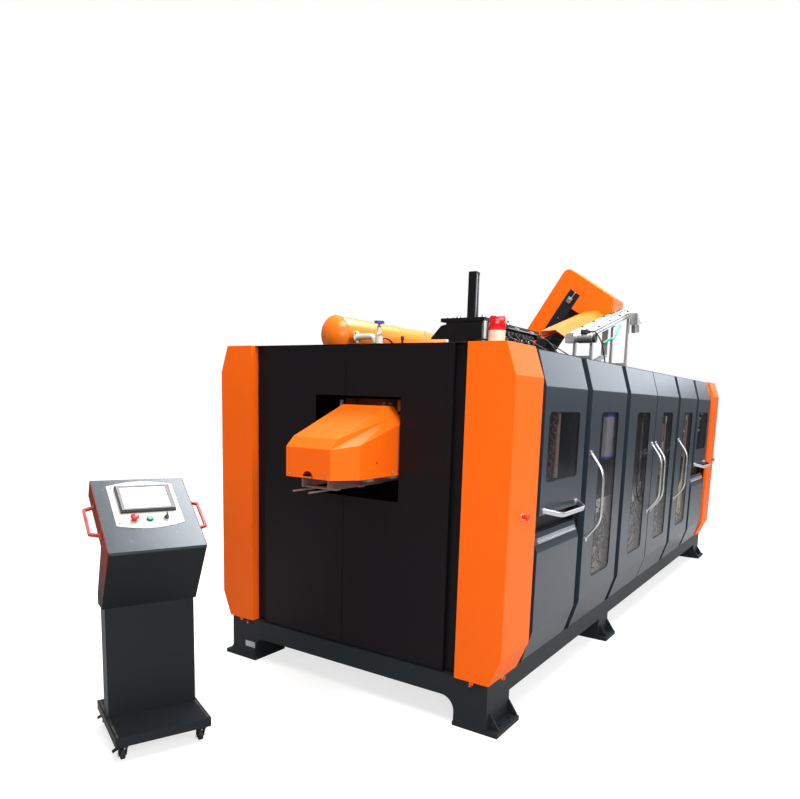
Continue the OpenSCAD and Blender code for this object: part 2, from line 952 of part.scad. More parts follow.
// Bridge that carries the stretch rods down its two guide columns
module stretch_bridge() {
  color(steel)
    difference() {
      union() {
        block(clamp_x - guide_d - 50, clamp_x + guide_d + 50, -line_y - 55, -line_y + 55,
          bridge_z, bridge_z + 60);
        for (i = [0:cavities - 1])
          bar_z(clamp_x + (i - (cavities - 1) / 2) * cavity_pitch, -line_y,
            mould_top + 30, bridge_z + cut, 7);
      }
      for (s = [-1, 1])
        bar_z(clamp_x + s * guide_d, -line_y, bridge_z - cut, bridge_z + 60 + cut, guide_r + wide_gap);
    }
}

// Station tower: seen above the roof as plate, mast, cylinder and arm

tower_z = cabinet_h + 268;
tower_foot = cabinet_h + 125;
tower_y0 = -line_y - 181;
tower_y1 = -line_y + 165;
tower_d = 1110;
arm_end = tower_d + 945;

module station_tower() {
  mast = 58;
  color("#1d1f21") {
    // Cross plates on the clamp's end plates, with the guide columns
    for (s = [-1, 1]) {
      block(clamp_x + s * guide_d - 50, clamp_x + s * guide_d + 50, -line_y - plate_y,
        -line_y + plate_y, clamp_top, clamp_top + 30);
      bar_z(clamp_x + s * guide_d, -line_y, clamp_top + 20, tower_foot - 25, guide_r);
    }
    block(clamp_x - guide_d - 60, clamp_x + guide_d + 60, -line_y - 60, -line_y + 60,
      tower_foot - 35, tower_foot + 5);
    // Box frame under the plate, with a sloping stay towards the tank
    block(tower_d + 5, tower_d + 150, tower_y0 + 28, tower_y1 - 43, tower_foot, tower_z - 20);
    along_x(tower_d + 5, tower_d + 17)
      polygon([[tower_y1 - 44, tower_foot], [tower_y1 + 80, tower_foot], [tower_y1 + 80, tower_foot + 10],
        [tower_y1, tower_z - 50], [tower_y1 - 44, tower_z - 40]]);
    block(tower_d, tower_d + 260, tower_y0, tower_y1, tower_z - 25, tower_z);
    // Mast: a square tube
    along_x(tower_d + 10, tower_d + 10 + mast)
      translate([tower_y0 + 83, tower_z - cut])
        square([mast, mast_h + cut]);
    // Arm with the valve bank under it
    block(tower_d + 255, arm_end, tower_y0, -line_y + 40, tower_z - 45, tower_z - 11);
    block(tower_d + 300, arm_end - 60, tower_y0 + 25, -line_y, tower_z - 125, tower_z - 44);
    block(arm_end - 20, arm_end + 50, tower_y0 + 8, -line_y + 20, tower_z - 70, tower_z - 30);
    // Struts that carry the arm from the roof
    for (d = [arm_end - 310, arm_end - 90])
      block(d, d + 40, -line_y - 60, -line_y + 20, cabinet_h, tower_z - 124);
    // Bolts on the plate
    for (b = [[tower_d + 20, tower_y1 - 134], [tower_d + 20, tower_y0 + 14], [tower_d + 420, tower_y0 + 24]])
      bar_z(b[0], b[1], tower_z - 30, tower_z + 18, 8);
    // Air hoses from the valve bank down to glands on the roof
    for (i = [0:3])
      air_hose(tower_d + 380 + 130 * i, 30 + 8 * (i % 2));
  }
  color(silver) {
    // Cylinder beside the box frame, and the linear guide along the arm
    bar_z(tower_d + 24, tower_y0 + 7, tower_foot - cut, tower_z - 24, 18);
    block(tower_d + 380, arm_end - 30, tower_y0 - 8, tower_y0 + cut, tower_z - 40, tower_z - 32);
  }
}

// A hose that leaves the valve bank's face, bends down and ends in its gland
module air_hose(d, bend) {
  y = tower_y0 + 25;
  z = tower_z - 85;
  hose = 9;
  bar_y(d, y - 14.1, y + cut, z, hose);
  bar_y(d, y - 8, y + cut, z, hose + 5);
  translate([at(d), y - 14, z - bend])
    rotate([90, 0, -90])
      rotate_extrude(angle = 90)
        translate([bend, 0])
          circle(hose);
  bar_z(d, y - 14 - bend, cabinet_h, z - bend + 0.1, hose);
  bar_z(d, y - 14 - bend, cabinet_h, cabinet_h + 14, hose + 5);
}

// Transport rail with the outfeed under the hood, the loop track and its mandrels

rail_z = 1300;
loop_x0 = 2500;
loop_x1 = 5050;
loop_r = 235;
loop_n = 26;

module stadium(r, grow) {
  half = (loop_x1 - loop_x0) / 2;
  for (s = [-1, 1])
    translate([s * half, 0])
      circle(r + grow);
  square([2 * half, 2 * (r + grow)], center = true);
}

module mandrel() {
  cylinder(r = 13, h = 60);
  translate([0, 0, 20])
    cylinder(r = 22, h = 8);
  translate([0, 0, 60 - cut])
    cylinder(r = 9, h = 34);
}

module transport_rail() {
  color("#8a7a74") {
    // Two rails and the cross brackets of the outfeed
    for (s = [-1, 1])
      block(-hood_out + 60, loop_x0 - loop_r - 40, hood_y + s * 90 - 6, hood_y + s * 90 + 6,
        hood_foot - 58, hood_foot - 8);
    for (d = [-hood_out + 110, -hood_out + 320, rail_posts[0], rail_posts[1]])
      block(d - 20, d + 20, hood_y - 118, hood_y + 118, hood_foot - 64, hood_foot - 54);
    // Ledges that carry the hood's side sheets
    for (d = [-hood_out + 225, -5]) {
      block(d - 25, d + 25, hood_y + 95, hood_y + hood_half + 4, hood_foot - 14, hood_foot - seat);
      block(d - 25, d + 25, hood_y - hood_half - hood_cheek - 4, hood_y - 95,
        hood_foot - 14, hood_foot - seat);
    }
    // Posts on the base frame's cross members
    for (d = rail_posts)
      block(d - 20, d + 20, hood_y - 30, hood_y + 30, beam_top, hood_foot - 56);
  }
  color(steel)
    for (s = [-1, 1])
      bar_x(-hood_out - 50, 150, hood_y + s * 55, rail_z, 5);
  color("#6b7174") {
    translate([at((loop_x0 + loop_x1) / 2), hood_y, rail_z - 60])
      linear_extrude(40)
        difference() {
          stadium(loop_r, 30);
          stadium(loop_r, -40);
        }
    for (d = loop_posts)
      for (s = [-1, 1])
        block(d - 25, d + 25, hood_y + s * loop_r - 30, hood_y + s * loop_r + 30, beam_top,
          rail_z - 60 + cut);
    // Gearbox and shaft of the drive wheel, on a bridge across the track
    block(loop_x1 - 40, loop_x1 + 40, hood_y - loop_r - 10, hood_y + loop_r + 10,
      rail_z - 120, rail_z - 60 + cut);
    bar_z(loop_x1, hood_y, rail_z - 61, rail_z - 8, 25);
    bar_z(loop_x1, hood_y, rail_z - 61, rail_z - 50 - seat, 40);
  }
  color(steel)
    for (i = [0:loop_n - 1], s = [-1, 1])
      translate([at(loop_x0 + (i + 0.5) * (loop_x1 - loop_x0) / loop_n), hood_y + s * (loop_r - 5),
          rail_z - 21])
        mandrel();
}

module drive_wheel() {
  teeth = 24;
  wheel = loop_r - 52;
  color("#9aa0a3")
    translate([at(loop_x1), hood_y, rail_z - 50])
      difference() {
        union() {
          cylinder(r = wheel, h = 16);
          cylinder(r = 55, h = 40);
        }
        translate([0, 0, -cut])
          cylinder(r = 25 + run_gap, h = 60);
        for (i = [0:teeth - 1])
          rotate(i * 360 / teeth)
            translate([wheel + 3, 0, -cut])
              cylinder(r = 10, h = 20, $fn = 24);
        for (i = [0:5])
          rotate(i * 60)
            translate([wheel * 0.6, 0, -cut])
              cylinder(r = 28, h = 20);
      }
}

// Oven bank: two reflector walls with lamp tubes along the track's door side run
module oven_bank() {
  x0 = 3000;
  x1 = 4800;
  wall = 95;
  color("#a9adb0") {
    for (s = [-1, 1])
      block(x0, x1, hood_y - loop_r + s * wall - (s > 0 ? 0 : 12), hood_y - loop_r + s * wall + (s > 0 ? 12 : 0),
        rail_z + 10, rail_z + 330);
    for (d = [x0, (x0 + x1) / 2, x1 - 30])
      block(d, d + 30, hood_y - loop_r - wall - 12, hood_y - loop_r + wall + 12,
        rail_z + 325, rail_z + 345);
    for (s = [-1, 1], i = [0:4])
      bar_x(x0 + 5, x1 - 5, hood_y - loop_r + s * (wall - 14), rail_z + 60 + i * 50, 5.5);
    for (d = [x0, x1 - 16], s = [-1, 1], i = [0:4])
      block(d, d + 16, s > 0 ? hood_y - loop_r + wall - 22 : hood_y - loop_r - wall,
        s > 0 ? hood_y - loop_r + wall : hood_y - loop_r - wall + 22,
        rail_z + 50 + i * 50, rail_z + 70 + i * 50);
    // Hangers down to the track
    for (d = oven_posts)
      block(d - 20, d + 20, hood_y - loop_r - wall - 24, hood_y - loop_r - wall - 11,
        beam_top, rail_z + 100);
  }
}

// Air tank on two saddles, with its nozzle, elbow and valve body

tank_y = cover_y - 285;
tank_d = 808;
tank_z = cabinet_h + 20 + tank_r;
valve_d = tank_d + 52;
valve_y = tank_y - 347;
spindle_z = cabinet_h + 163;

// Dished head: a cap of a larger sphere behind a short collar
module tank_head() {
  deep = tank_r / 2;
  ball = (pow(tank_r, 2) + pow(deep, 2)) / (2 * deep);
  intersection() {
    translate([0, 0, deep - ball])
      sphere(ball, $fn = 96);
    translate([0, 0, -cut])
      cylinder(r = tank_r - 1, h = deep + 2 * cut);
  }
}

module air_tank() {
  nozzle_z = cabinet_h + 129;
  color(tank_yellow) {
    union() {
      bar_x(tank_d, tank_d + tank_len, tank_y, tank_z, tank_r);
      translate([at(tank_d), tank_y, tank_z])
        rotate([0, -90, 0])
          tank_head();
      translate([at(tank_d + tank_len), tank_y, tank_z])
        rotate([0, 90, 0])
          tank_head();
      for (d = [tank_d + 250, tank_d + tank_len - 290])
        difference() {
          block(d, d + 40, tank_y - 95, tank_y + 95, cabinet_h, tank_z - 40);
          bar_x(d - cut, d + 40 + cut, tank_y, tank_z, tank_r - 2);
        }
      bar_y(valve_d, tank_y - tank_r - 16, tank_y, nozzle_z, 24);
      bar_y(valve_d, tank_y - tank_r - 26, tank_y - tank_r - 14, nozzle_z, 42);
    }
  }
  color("#d9d2bf") {
    // Elbow, pipe and valve body
    bar_y(valve_d, tank_y - tank_r - 38, tank_y - tank_r - 26, nozzle_z, 42);
    bar_y(valve_d, valve_y + 60, tank_y - tank_r - 37, nozzle_z, 21);
    translate([at(valve_d), valve_y + 60, nozzle_z - 45])
      rotate([90, 0, -90])
        rotate_extrude(angle = 90)
          translate([45, 0])
            circle(21);
    bar_z(valve_d, valve_y + 15, cabinet_h, nozzle_z - 44.9, 21);
    difference() {
      union() {
        bar_z(valve_d, valve_y - 15, cabinet_h, cabinet_h + 190, 17);
        bar_z(valve_d, valve_y - 15, cabinet_h + 80, cabinet_h + 130, 26);
      }
      bar_z(valve_d, valve_y - 15, spindle_z - 1, cabinet_h + 191, 8 + run_gap);
    }
  }
}

// Round hand wheel on its spindle
module tank_handwheel() {
  color("#2a4fa8")
    translate([at(valve_d), valve_y - 15, 0]) {
      translate([0, 0, spindle_z])
        cylinder(r = 8, h = 70);
      translate([0, 0, spindle_z + 55]) {
        difference() {
          cylinder(r = 36, h = 16);
          translate([0, 0, -cut])
            cylinder(r = 28, h = 20);
        }
        for (i = [0:2])
          rotate(i * 120)
            translate([0, -5, 4])
              cube([30, 10, 8]);
      }
    }
}

// Signal lamp on the roof of a corner cover

lamp_d = 224;
lamp_y = -cover_in - lamp_r - 4;

module lamp_base() {
  color("#d8cfb8")
    translate([at(lamp_d), lamp_y, cabinet_h]) {
      cylinder(r = lamp_r - 1, h = lamp_base_h);
      cylinder(r = lamp_r + 3, h = 6);
    }
}

module lamp_lens() {
  z0 = cabinet_h + lamp_base_h;
  color("#e01020")
    translate([at(lamp_d), lamp_y, z0])
      difference() {
        rotate_extrude()
          polygon([[0, 0], [lamp_r, 0], [lamp_r, 12], [lamp_r - 2, 14], [lamp_r - 2, lamp_lens_h - 10],
            [lamp_r - 9, lamp_lens_h - 3], [0, lamp_lens_h]]);
        translate([0, 0, -cut])
          cylinder(r = lamp_r - 6, h = lamp_lens_h - 8);
      }
}

// Elevator: a leaning conveyor whose head cover throws the preforms onto the chute

head_y = -44;
head_z = cabinet_h + 973;
frame_band = 150;
belt_band = 118;
head_len = 556;
head_deep = 282;
belt_top = 143;
boot_z = cabinet_h;

// A point given by its distance along the head and its depth down the lean
function lean(r, q) = [head_y - r * sin(elev_deg) + q * cos(elev_deg),
  head_z - r * cos(elev_deg) - q * sin(elev_deg)];

function slide_to(p, z) = [p[0] + (p[1] - z) / tan(elev_deg), z];

// Line of the belt, with its two shafts
belt_r = frame_band + belt_band / 2;
shaft_r = 10;
shaft_spots = [lean(belt_r, belt_top + 22),
  lean(belt_r, (head_z - boot_z - 130) / sin(elev_deg) - belt_r / tan(elev_deg))];

// Side plates of head cover and frame band
module head_outline() {
  drop = lean(head_len, 0);
  difference() {
    polygon([lean(0, 0), drop, [drop[0], drop[1] - 158], [drop[0] + 265, drop[1] - 158],
      lean(frame_band + belt_band, head_deep),
      lean(frame_band + belt_band, belt_top), lean(frame_band, belt_top),
      slide_to(lean(frame_band, belt_top), boot_z), slide_to(lean(0, 0), boot_z)]);
    // The top corner is round
    difference() {
      polygon([lean(-cut, -cut), lean(60, -cut), lean(60, 60), lean(-cut, 60)]);
      translate(lean(60, 60))
        circle(60);
    }
  }
}

module elevator_housing() {
  t = sheet_t;
  drop = lean(head_len, 0);
  edge = slide_to(lean(0, 0), boot_z);
  color(orange) {
    // Two side plates, the back sheet, the head's roof sheet and its front sheet,
    // cut back at the lower front corner where the unscrambler passes under them
    difference() {
      union() {
        for (d = [elev_x, elev_x + elev_w - t])
          along_x(d, d + t)
            head_outline();
        along_x(elev_x, elev_x + elev_w) {
          difference() {
            head_outline();
            polygon([lean(t, t), lean(900, t), lean(900, 1500), lean(t, 1500)]);
          }
          translate([drop[0], drop[1] - 158])
            square([t, 157]);
        }
      }
      on_feed()
        translate([0, 0, -130])
          cube([feed_len + 20, feed_w / 2 + 16, 162]);
    }
    // Bars that carry the belt's shafts, with a foot on the roof
    for (d = [elev_x + t - cut, elev_x + elev_w - t - 8])
      along_x(d, d + 8 + cut)
        difference() {
          polygon([lean(belt_r - 20, 60), lean(belt_r + 20, 60),
            slide_to(lean(belt_r + 20, 60), boot_z), slide_to(lean(belt_r - 20, 60), boot_z)]);
          for (p = shaft_spots)
            translate(p)
              circle(shaft_r + run_gap);
        }
    // Foot on the roof
    block(elev_x - 30, elev_x + elev_w + 30, edge[0] - 190, edge[0] + 30, cabinet_h, cabinet_h + 12);
    chute_cover();
  }
}

// Chute cover over the unscrambler's far side, sloping down towards the discharge end
module chute_cover() {
  run = 985;
  t = sheet_t;
  difference() {
    translate([at(elev_x - run), 0, feed_z - 12])
      rotate([0, -feed_deg, 0])
        rotate([90, 0, 90])
          linear_extrude(run * 1.2)
            difference() {
              polygon([[-240, 50], [-367, 57], [-454, -4], [-454, -8], [-263, -8], [-240, 0]]);
              polygon([[-240 - t, 50 - t], [-366, 57 - t], [-454 + t + 1, -5], [-454 + t + 1, -9],
                [-263, -9], [-263, -8 + t], [-240 - t, t]]);
            }
    block(elev_x + cut, elev_x + run, -600, 0, cabinet_h, head_z);
  }
}

// Cleated belt over its two pulleys, seen in the open flank of the conveyor
module elevator_belt() {
  p0 = shaft_spots[0];
  p1 = shaft_spots[1];
  run = norm(p1 - p0);
  pulley = 50;
  cleats = 12;
  cleat_h = 14;
  // Outline of the loop: upper run with its cleats, round end, lower run, round end
  spots = [for (i = [0:cleats - 1]) run * (i + 0.5) / cleats];
  upper = [for (x = spots) each [[x - 3, pulley], [x - 3, pulley + cleat_h],
    [x + 3, pulley + cleat_h], [x + 3, pulley]]];
  lower = [for (i = [1:len(upper)]) [upper[len(upper) - i][0], -upper[len(upper) - i][1]]];
  low_end = [for (a = [90:-15:-90]) [run + pulley * cos(a), pulley * sin(a)]];
  high_end = [for (a = [270:-15:90]) [pulley * cos(a), pulley * sin(a)]];
  color("#202226")
    along_x(elev_x + 20, elev_x + elev_w - 20)
      difference() {
        translate(p0)
          rotate(atan2(p1[1] - p0[1], p1[0] - p0[0]))
            difference() {
              polygon(concat(upper, low_end, lower, high_end));
              translate([pulley + 15, -pulley + 8])
                square([run - 2 * pulley - 30, 2 * pulley - 16]);
            }
        for (p = shaft_spots)
          translate(p)
            circle(shaft_r + run_gap);
      }
  color(steel)
    for (p = shaft_spots)
      bar_x(elev_x + sheet_t + 1, elev_x + elev_w - sheet_t - 1, p[0], p[1], shaft_r);
}

// Unscrambler frame: side rails, end blocks, legs, motor and gearbox

feed_y = -560;
feed_w = 140;
feed_d = 2253;
roller_y = roller_r + 6;

module on_feed() {
  translate([at(feed_d), feed_y, feed_z])
    rotate([0, -feed_deg, 0])
      children();
}

function feed_at(d) = feed_z + (d - feed_d) * tan(feed_deg);

module unscrambler_frame() {
  rail_hh = 52;
  drop_z = cabinet_h - 50;
  color("#dfe2e4") {
    on_feed()
      difference() {
        union() {
          for (s = [-1, 1])
            translate([0, s * feed_w / 2 - 12, -rail_hh / 2])
              cube([feed_len, 24, rail_hh]);
          for (x = [0, feed_len - 30])
            translate([x, -feed_w / 2, -rail_hh / 2])
              cube([30, feed_w, rail_hh]);
        }
        // Bearing holes for the rollers' journals
        for (s = [-1, 1])
          translate([-cut, s * roller_y, 4])
            rotate([0, 90, 0])
              cylinder(r = 9 + wide_gap, h = feed_len + 2 * cut);
      }
    for (d = [feed_d + 60, feed_d + 1020]) {
      for (s = [-1, 1])
        along_y(feed_y + s * feed_w / 2 - 11, feed_y + s * feed_w / 2 + 11)
          polygon([[at(d), cabinet_h], [at(d + 30), cabinet_h], [at(d + 30), feed_at(d + 30) - 15],
            [at(d), feed_at(d) - 15]]);
      block(d + 4, d + 26, feed_y - feed_w / 2, feed_y + feed_w / 2, cabinet_h + 60, cabinet_h + 90);
    }
    // Preform rails below, running down through the roof
    for (s = [-1, 1])
      along_y(feed_y + s * 19 - 4, feed_y + s * 19 + 4)
        polygon([[at(feed_d + 17), drop_z], [at(feed_d + 640), drop_z + 623 * tan(feed_deg)],
          [at(feed_d + 640), drop_z + 24 + 623 * tan(feed_deg)], [at(feed_d + 17), drop_z + 24]]);
  }
  color("#4a5055") {
    // Hangers of the preform rails
    block(feed_d + 66, feed_d + 80, feed_y - 23, feed_y + 23, drop_z + 25,
      cabinet_h + 62);
    block(feed_d + 610, feed_d + 630, feed_y - 26, feed_y + 26, drop_z + 175,
      feed_at(feed_d + 620) - 40);
    block(feed_d + 610, feed_d + 630, feed_y - feed_w / 2 - 11, feed_y + feed_w / 2 + 11,
      feed_at(feed_d + 620) - 41, feed_at(feed_d + 620) - 28);
    // Gearbox and motor lie across the low end
    block(feed_d - 75, feed_d - 5, feed_y + 30, feed_y + 100, feed_z - 62, feed_z + 12);
    bar_y(feed_d - 40, feed_y - 124, feed_y + 31, feed_z - 25, 36);
    block(feed_d - 6, feed_d + 6, feed_y + 40, feed_y + 66, feed_z - 20, feed_z + 4);
    // Pulley box and second motor under the high end
    on_feed() {
      translate([feed_len - 130, -feed_w / 2 - 70, -96])
        cube([110, 72, 104]);
      translate([feed_len - 75, -feed_w / 2 - 71, -50])
        rotate([-90, 0, 0])
          translate([0, 0, 72])
            cylinder(r = 20, h = 26);
      translate([feed_len - 75, -feed_w / 2 - 40, -175])
        cylinder(r = 34, h = 80);
    }
  }
}

module roller(s) {
  color(silver)
    on_feed()
      translate([0, s * roller_y, 4])
        rotate([0, 90, 0]) {
          translate([0, 0, 30 + seat])
            cylinder(r = roller_r, h = feed_len - 60 - 2 * seat);
          translate([0, 0, 8])
            cylinder(r = 9, h = feed_len - 16);
        }
}

module roller_left() {
  roller(1);
}

module roller_right() {
  roller(-1);
}

// Operator station, turned to face its operator

station_at = [-4200.8, 318.4, 0];
station_turn = -22.99;
desk_len = norm([desk_run, desk_rise]);
desk_deg = atan2(desk_rise, desk_run);
desk_v = 20;
base_z0 = 90;
base_z1 = 138;
head_t = 100;

module at_station() {
  translate(station_at)
    rotate(station_turn)
      children();
}

// Draws on the desk's face: X to the right, Y up the slope, Z out of the face
module on_desk() {
  at_station()
    translate([0, desk_v, desk_low])
      rotate([desk_deg, 0, 0])
        children();
}

// Outline of the column and head, as depth and height
function desk_point(t, h) = [desk_v + t * cos(desk_deg) - h * sin(desk_deg),
  desk_low + t * sin(desk_deg) + h * cos(desk_deg)];

module station_outline() {
  polygon([[240, base_z1], [240, station_knee], desk_point(0, 0), desk_point(desk_len, 0),
    desk_point(desk_len, -head_t), desk_point(150, -head_t), [352, 770], [362, base_z1]]);
}

module caster_seats() {
  for (u = [40, station_w - 40], v = [45, station_d - 45])
    translate([u, v, 0])
      children();
}

module console_stand() {
  color("#1d2426")
    at_station() {
      difference() {
        translate([0, 0, base_z0])
          rotate([90, 0, 90])
            linear_extrude(station_w)
              polygon([[0, 0], [station_d, 0], [station_d, base_z1 - base_z0], [0, base_z1 - base_z0]]);
        caster_seats()
          translate([0, 0, base_z0 - cut])
            cylinder(r = 6 + run_gap, h = 26);
      }
      translate([12, 0, 0])
        rotate([90, 0, 90])
          linear_extrude(station_w - 24)
            difference() {
              station_outline();
              translate([0, desk_low - 330])
                square([900, 900]);
            }
    }
}

// Desk controls by their place on the desk's face
controls_t = 213;
stop_u = 156;
start_u = 229;
key_u = 309;
face_u = 230;
face_t = 330;
hole_r = 11;

// Its upper and lower edges bow out
module faceplate() {
  w = 322;
  h = 300;
  bow = 30;
  steps = 14;
  function edge(i) = [w * (i / steps - 0.5), h / 2 + bow * (1 - pow(2 * i / steps - 1, 2))];
  translate([face_u, face_t])
    polygon(concat([for (i = [0:steps]) edge(i)], [for (i = [0:steps]) -edge(i)]));
}

module console_head() {
  color("#5b6066")
    difference() {
      union() {
        at_station()
          translate([sheet_t, 0, 0])
            rotate([90, 0, 90])
              linear_extrude(station_w - 2 * sheet_t)
                intersection() {
                  station_outline();
                  translate([0, desk_low - 330 + seat])
                    square([900, 900]);
                }
        // Front lip of the desk
        on_desk()
          translate([sheet_t + cut, -2, -16])
            cube([station_w - 2 * sheet_t - 2 * cut, 8, 18]);
        on_desk()
          translate([0, 0, -seat])
            linear_extrude(2 + seat)
              faceplate();
      }
      on_desk()
        for (u = [stop_u, start_u, key_u])
          translate([u, controls_t, -40])
            cylinder(r = hole_r + run_gap, h = 60);
    }
}

// Side covers of the head, each with a bar handle
module console_sides() {
  color("#c8401c")
    at_station()
      for (s = [0, 1])
        translate([s * station_w, 0, 0])
          mirror([s, 0, 0]) {
            rotate([90, 0, 90])
              linear_extrude(sheet_t - seat)
                intersection() {
                  station_outline();
                  translate([0, desk_low - 330 + seat])
                    square([900, 900]);
                }
            translate([0, desk_v, desk_low])
              rotate([desk_deg, 0, 0])
                translate([0, 0, -50])
                  linear_extrude(16, center = true)
                    difference() {
                      bent_bar([[8, 385], [-48, 365], [-48, 190], [8, 170]], 12);
                      translate([sheet_t - seat, 0])
                        square([30, 600]);
                    }
          }
}

// Touch panel: bezel with a sunk screen
module touch_panel() {
  w = 266;
  h = 200;
  color("#3c4046")
    on_desk()
      translate([face_u + 5 - w / 2, 265, 2 + seat])
        difference() {
          union() {
            cube([w, h, 14]);
            translate([6, 6, 14 - cut])
              cube([w - 12, h - 12, 6]);
          }
          translate([22, 19, 15])
            cube([w - 44, h - 38, 10]);
        }
}

module desk_button(u, stem_h) {
  on_desk()
    translate([u, controls_t, 0]) {
      translate([0, 0, -28])
        cylinder(r = hole_r, h = stem_h + 28);
      children();
    }
}

module console_stop() {
  color("#d2322c")
    desk_button(stop_u, 18)
      translate([0, 0, 16])
        rotate_extrude()
          polygon([[0, 0], [14, 0], [20, 7], [20, 13], [15, 18], [0, 20]]);
}

module start_button() {
  color("#2fae74")
    desk_button(start_u, 9)
      translate([0, 0, 8])
        rotate_extrude()
          polygon([[0, 0], [13, 0], [13, 4], [11, 6], [0, 6]]);
}

module key_switch() {
  color("#3a3d40")
    desk_button(key_u, 10) {
      translate([0, 0, 9])
        cylinder(r = 13, h = 8);
      translate([-2, -9, 16])
        cube([4, 18, 26]);
    }
}

// Casters: a swivel fork on its stem, with a wheel on its axle

trail = 18;
axle_r = 4;

// The casters in their order: front left, front right, rear left, rear right
caster_spots = [[40, 45], [station_w - 40, 45], [40, station_d - 45], [station_w - 40, station_d - 45]];

module caster_fork(n) {
  spot = caster_spots[n];
  ear = 14;
  braked = spot[0] < station_w / 2;
  color("#2a2c2e")
    at_station()
      translate([spot[0], spot[1], 0]) {
        translate([0, 0, base_z0 - 14])
          cylinder(r = 6, h = 36);
        translate([0, 0, base_z0 - 14])
          cylinder(r = 24, h = 14 - seat);
        translate([-22, -20, base_z0 - 18])
          cube([44, 40, 5]);
        for (s = [-1, 1])
          translate([s * (ear + 2.5) - 2.5, 0, 0])
            rotate([90, 0, 90])
              linear_extrude(5)
                union() {
                  polygon([[-20, base_z0 - 14], [20, base_z0 - 14], [trail + 9, wheel_r],
                    [trail - 9, wheel_r]]);
                  translate([trail, wheel_r])
                    circle(9);
                }
        // Axle between the ears
        translate([-ear - 1, trail, wheel_r])
          rotate([0, 90, 0])
            cylinder(r = axle_r, h = 2 * ear + 2);
        // Brake pedal on the operator's left
        if (braked)
          translate([-ear - 34, 4, 0])
            rotate([90, 0, 0])
              linear_extrude(24, center = true)
                polygon([[0, base_z0 - 38], [26, base_z0 - 24], [30, base_z0 - 18], [24, base_z0 - 18],
                  [0, base_z0 - 33]]);
      }
}

module caster_wheel(n) {
  spot = caster_spots[n];
  color("#1a1b1c")
    at_station()
      translate([spot[0], spot[1] + trail, wheel_r])
        rotate([0, 90, 0])
          rotate_extrude()
            polygon([[axle_r + 0.05, -13], [9, -13], [9, -9], [wheel_r - 5, -9], [wheel_r - 5, -11],
              [wheel_r - 2, -11], [wheel_r, -8], [wheel_r, 8], [wheel_r - 2, 11], [wheel_r - 5, 11],
              [wheel_r - 5, 9], [9, 9], [9, 13], [axle_r + 0.05, 13]]);
}

module caster_1() {
  caster_fork(0);
}

module caster_2() {
  caster_fork(1);
}

module caster_3() {
  caster_fork(2);
}

module caster_4() {
  caster_fork(3);
}

module wheel_1() {
  caster_wheel(0);
}

module wheel_2() {
  caster_wheel(1);
}

module wheel_3() {
  caster_wheel(2);
}

module wheel_4() {
  caster_wheel(3);
}

base_frame();
cabinet_frame();
corner_covers();
end_panels();
shell_panels();
door_1_flap();
door_1_panel();
door_2();
door_3();
door_4();
door_5();
door_6_flap();
door_6_panel();
window_1();
window_2();
window_3();
window_4();
window_5();
window_6();
handle_1();
handle_2();
handle_3();
handle_4();
handle_5();
handle_6();
stop_near();
stop_far();
discharge_hood();
transport_rail();
drive_wheel();
oven_bank();
clamp_frame();
mould_left();
mould_right();
stretch_bridge();
station_tower();
air_tank();
tank_handwheel();
lamp_base();
lamp_lens();
elevator_housing();
elevator_belt();
unscrambler_frame();
roller_left();
roller_right();
console_stand();
console_head();
console_sides();
touch_panel();
console_stop();
start_button();
key_switch();
caster_1();
caster_2();
caster_3();
caster_4();
wheel_1();
wheel_2();
wheel_3();
wheel_4();
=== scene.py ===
import json
import math

import bmesh
import bpy
import numpy as np
from mathutils import Matrix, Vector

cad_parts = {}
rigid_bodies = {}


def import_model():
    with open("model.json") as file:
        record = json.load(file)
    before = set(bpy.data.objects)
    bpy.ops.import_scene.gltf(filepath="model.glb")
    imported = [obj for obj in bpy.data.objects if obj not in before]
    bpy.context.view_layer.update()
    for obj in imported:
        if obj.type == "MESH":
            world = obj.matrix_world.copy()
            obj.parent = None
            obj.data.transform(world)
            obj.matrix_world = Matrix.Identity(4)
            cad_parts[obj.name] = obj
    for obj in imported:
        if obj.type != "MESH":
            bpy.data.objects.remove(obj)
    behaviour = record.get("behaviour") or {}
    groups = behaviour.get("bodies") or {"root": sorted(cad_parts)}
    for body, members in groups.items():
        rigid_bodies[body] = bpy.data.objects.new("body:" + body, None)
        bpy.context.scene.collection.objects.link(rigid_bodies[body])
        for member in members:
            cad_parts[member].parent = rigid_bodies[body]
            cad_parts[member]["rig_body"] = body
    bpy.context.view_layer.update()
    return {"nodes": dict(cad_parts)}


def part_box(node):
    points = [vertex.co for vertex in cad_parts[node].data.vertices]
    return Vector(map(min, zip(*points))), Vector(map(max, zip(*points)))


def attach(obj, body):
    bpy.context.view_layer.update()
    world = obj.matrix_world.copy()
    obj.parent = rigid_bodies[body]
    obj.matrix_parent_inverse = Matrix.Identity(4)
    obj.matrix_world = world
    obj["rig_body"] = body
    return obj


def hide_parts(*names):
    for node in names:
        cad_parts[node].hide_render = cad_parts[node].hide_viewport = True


# Linear stretch blow moulding machine with its operator station.
# Pieces are built in millimetres: x from the discharge end, y from the machine's middle with
# the doors on its minus side, z up from the floor. makePiece turns them into the model's metres,
# whose origin lies halfLen from the discharge end.

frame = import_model()
halfLen = 2880
print("frame loaded,", len(frame["nodes"]), "nodes")

view = {  # in metres, in the model's frame
    "place": (-5.9964, -2.5110, 1.8000),
    "right": (0.54085, -0.84047, 0.03286),
    "up": (0.10763, 0.10790, 0.98832),
    "forward": (0.83420, 0.53100, -0.14882),
    "lens": 30.517,
    "shift": (-0.0257, 0.1269),
}


def shown(name, data):  # a new object in the scene
    obj = bpy.data.objects.new(name, data)
    bpy.context.scene.collection.objects.link(obj)
    return obj


def posed(axes, place):  # the matrix of an object with these three axes at this place
    m = np.eye(4)
    m[:3, :3] = axes
    m[:3, 3] = place
    return Matrix(m.tolist())


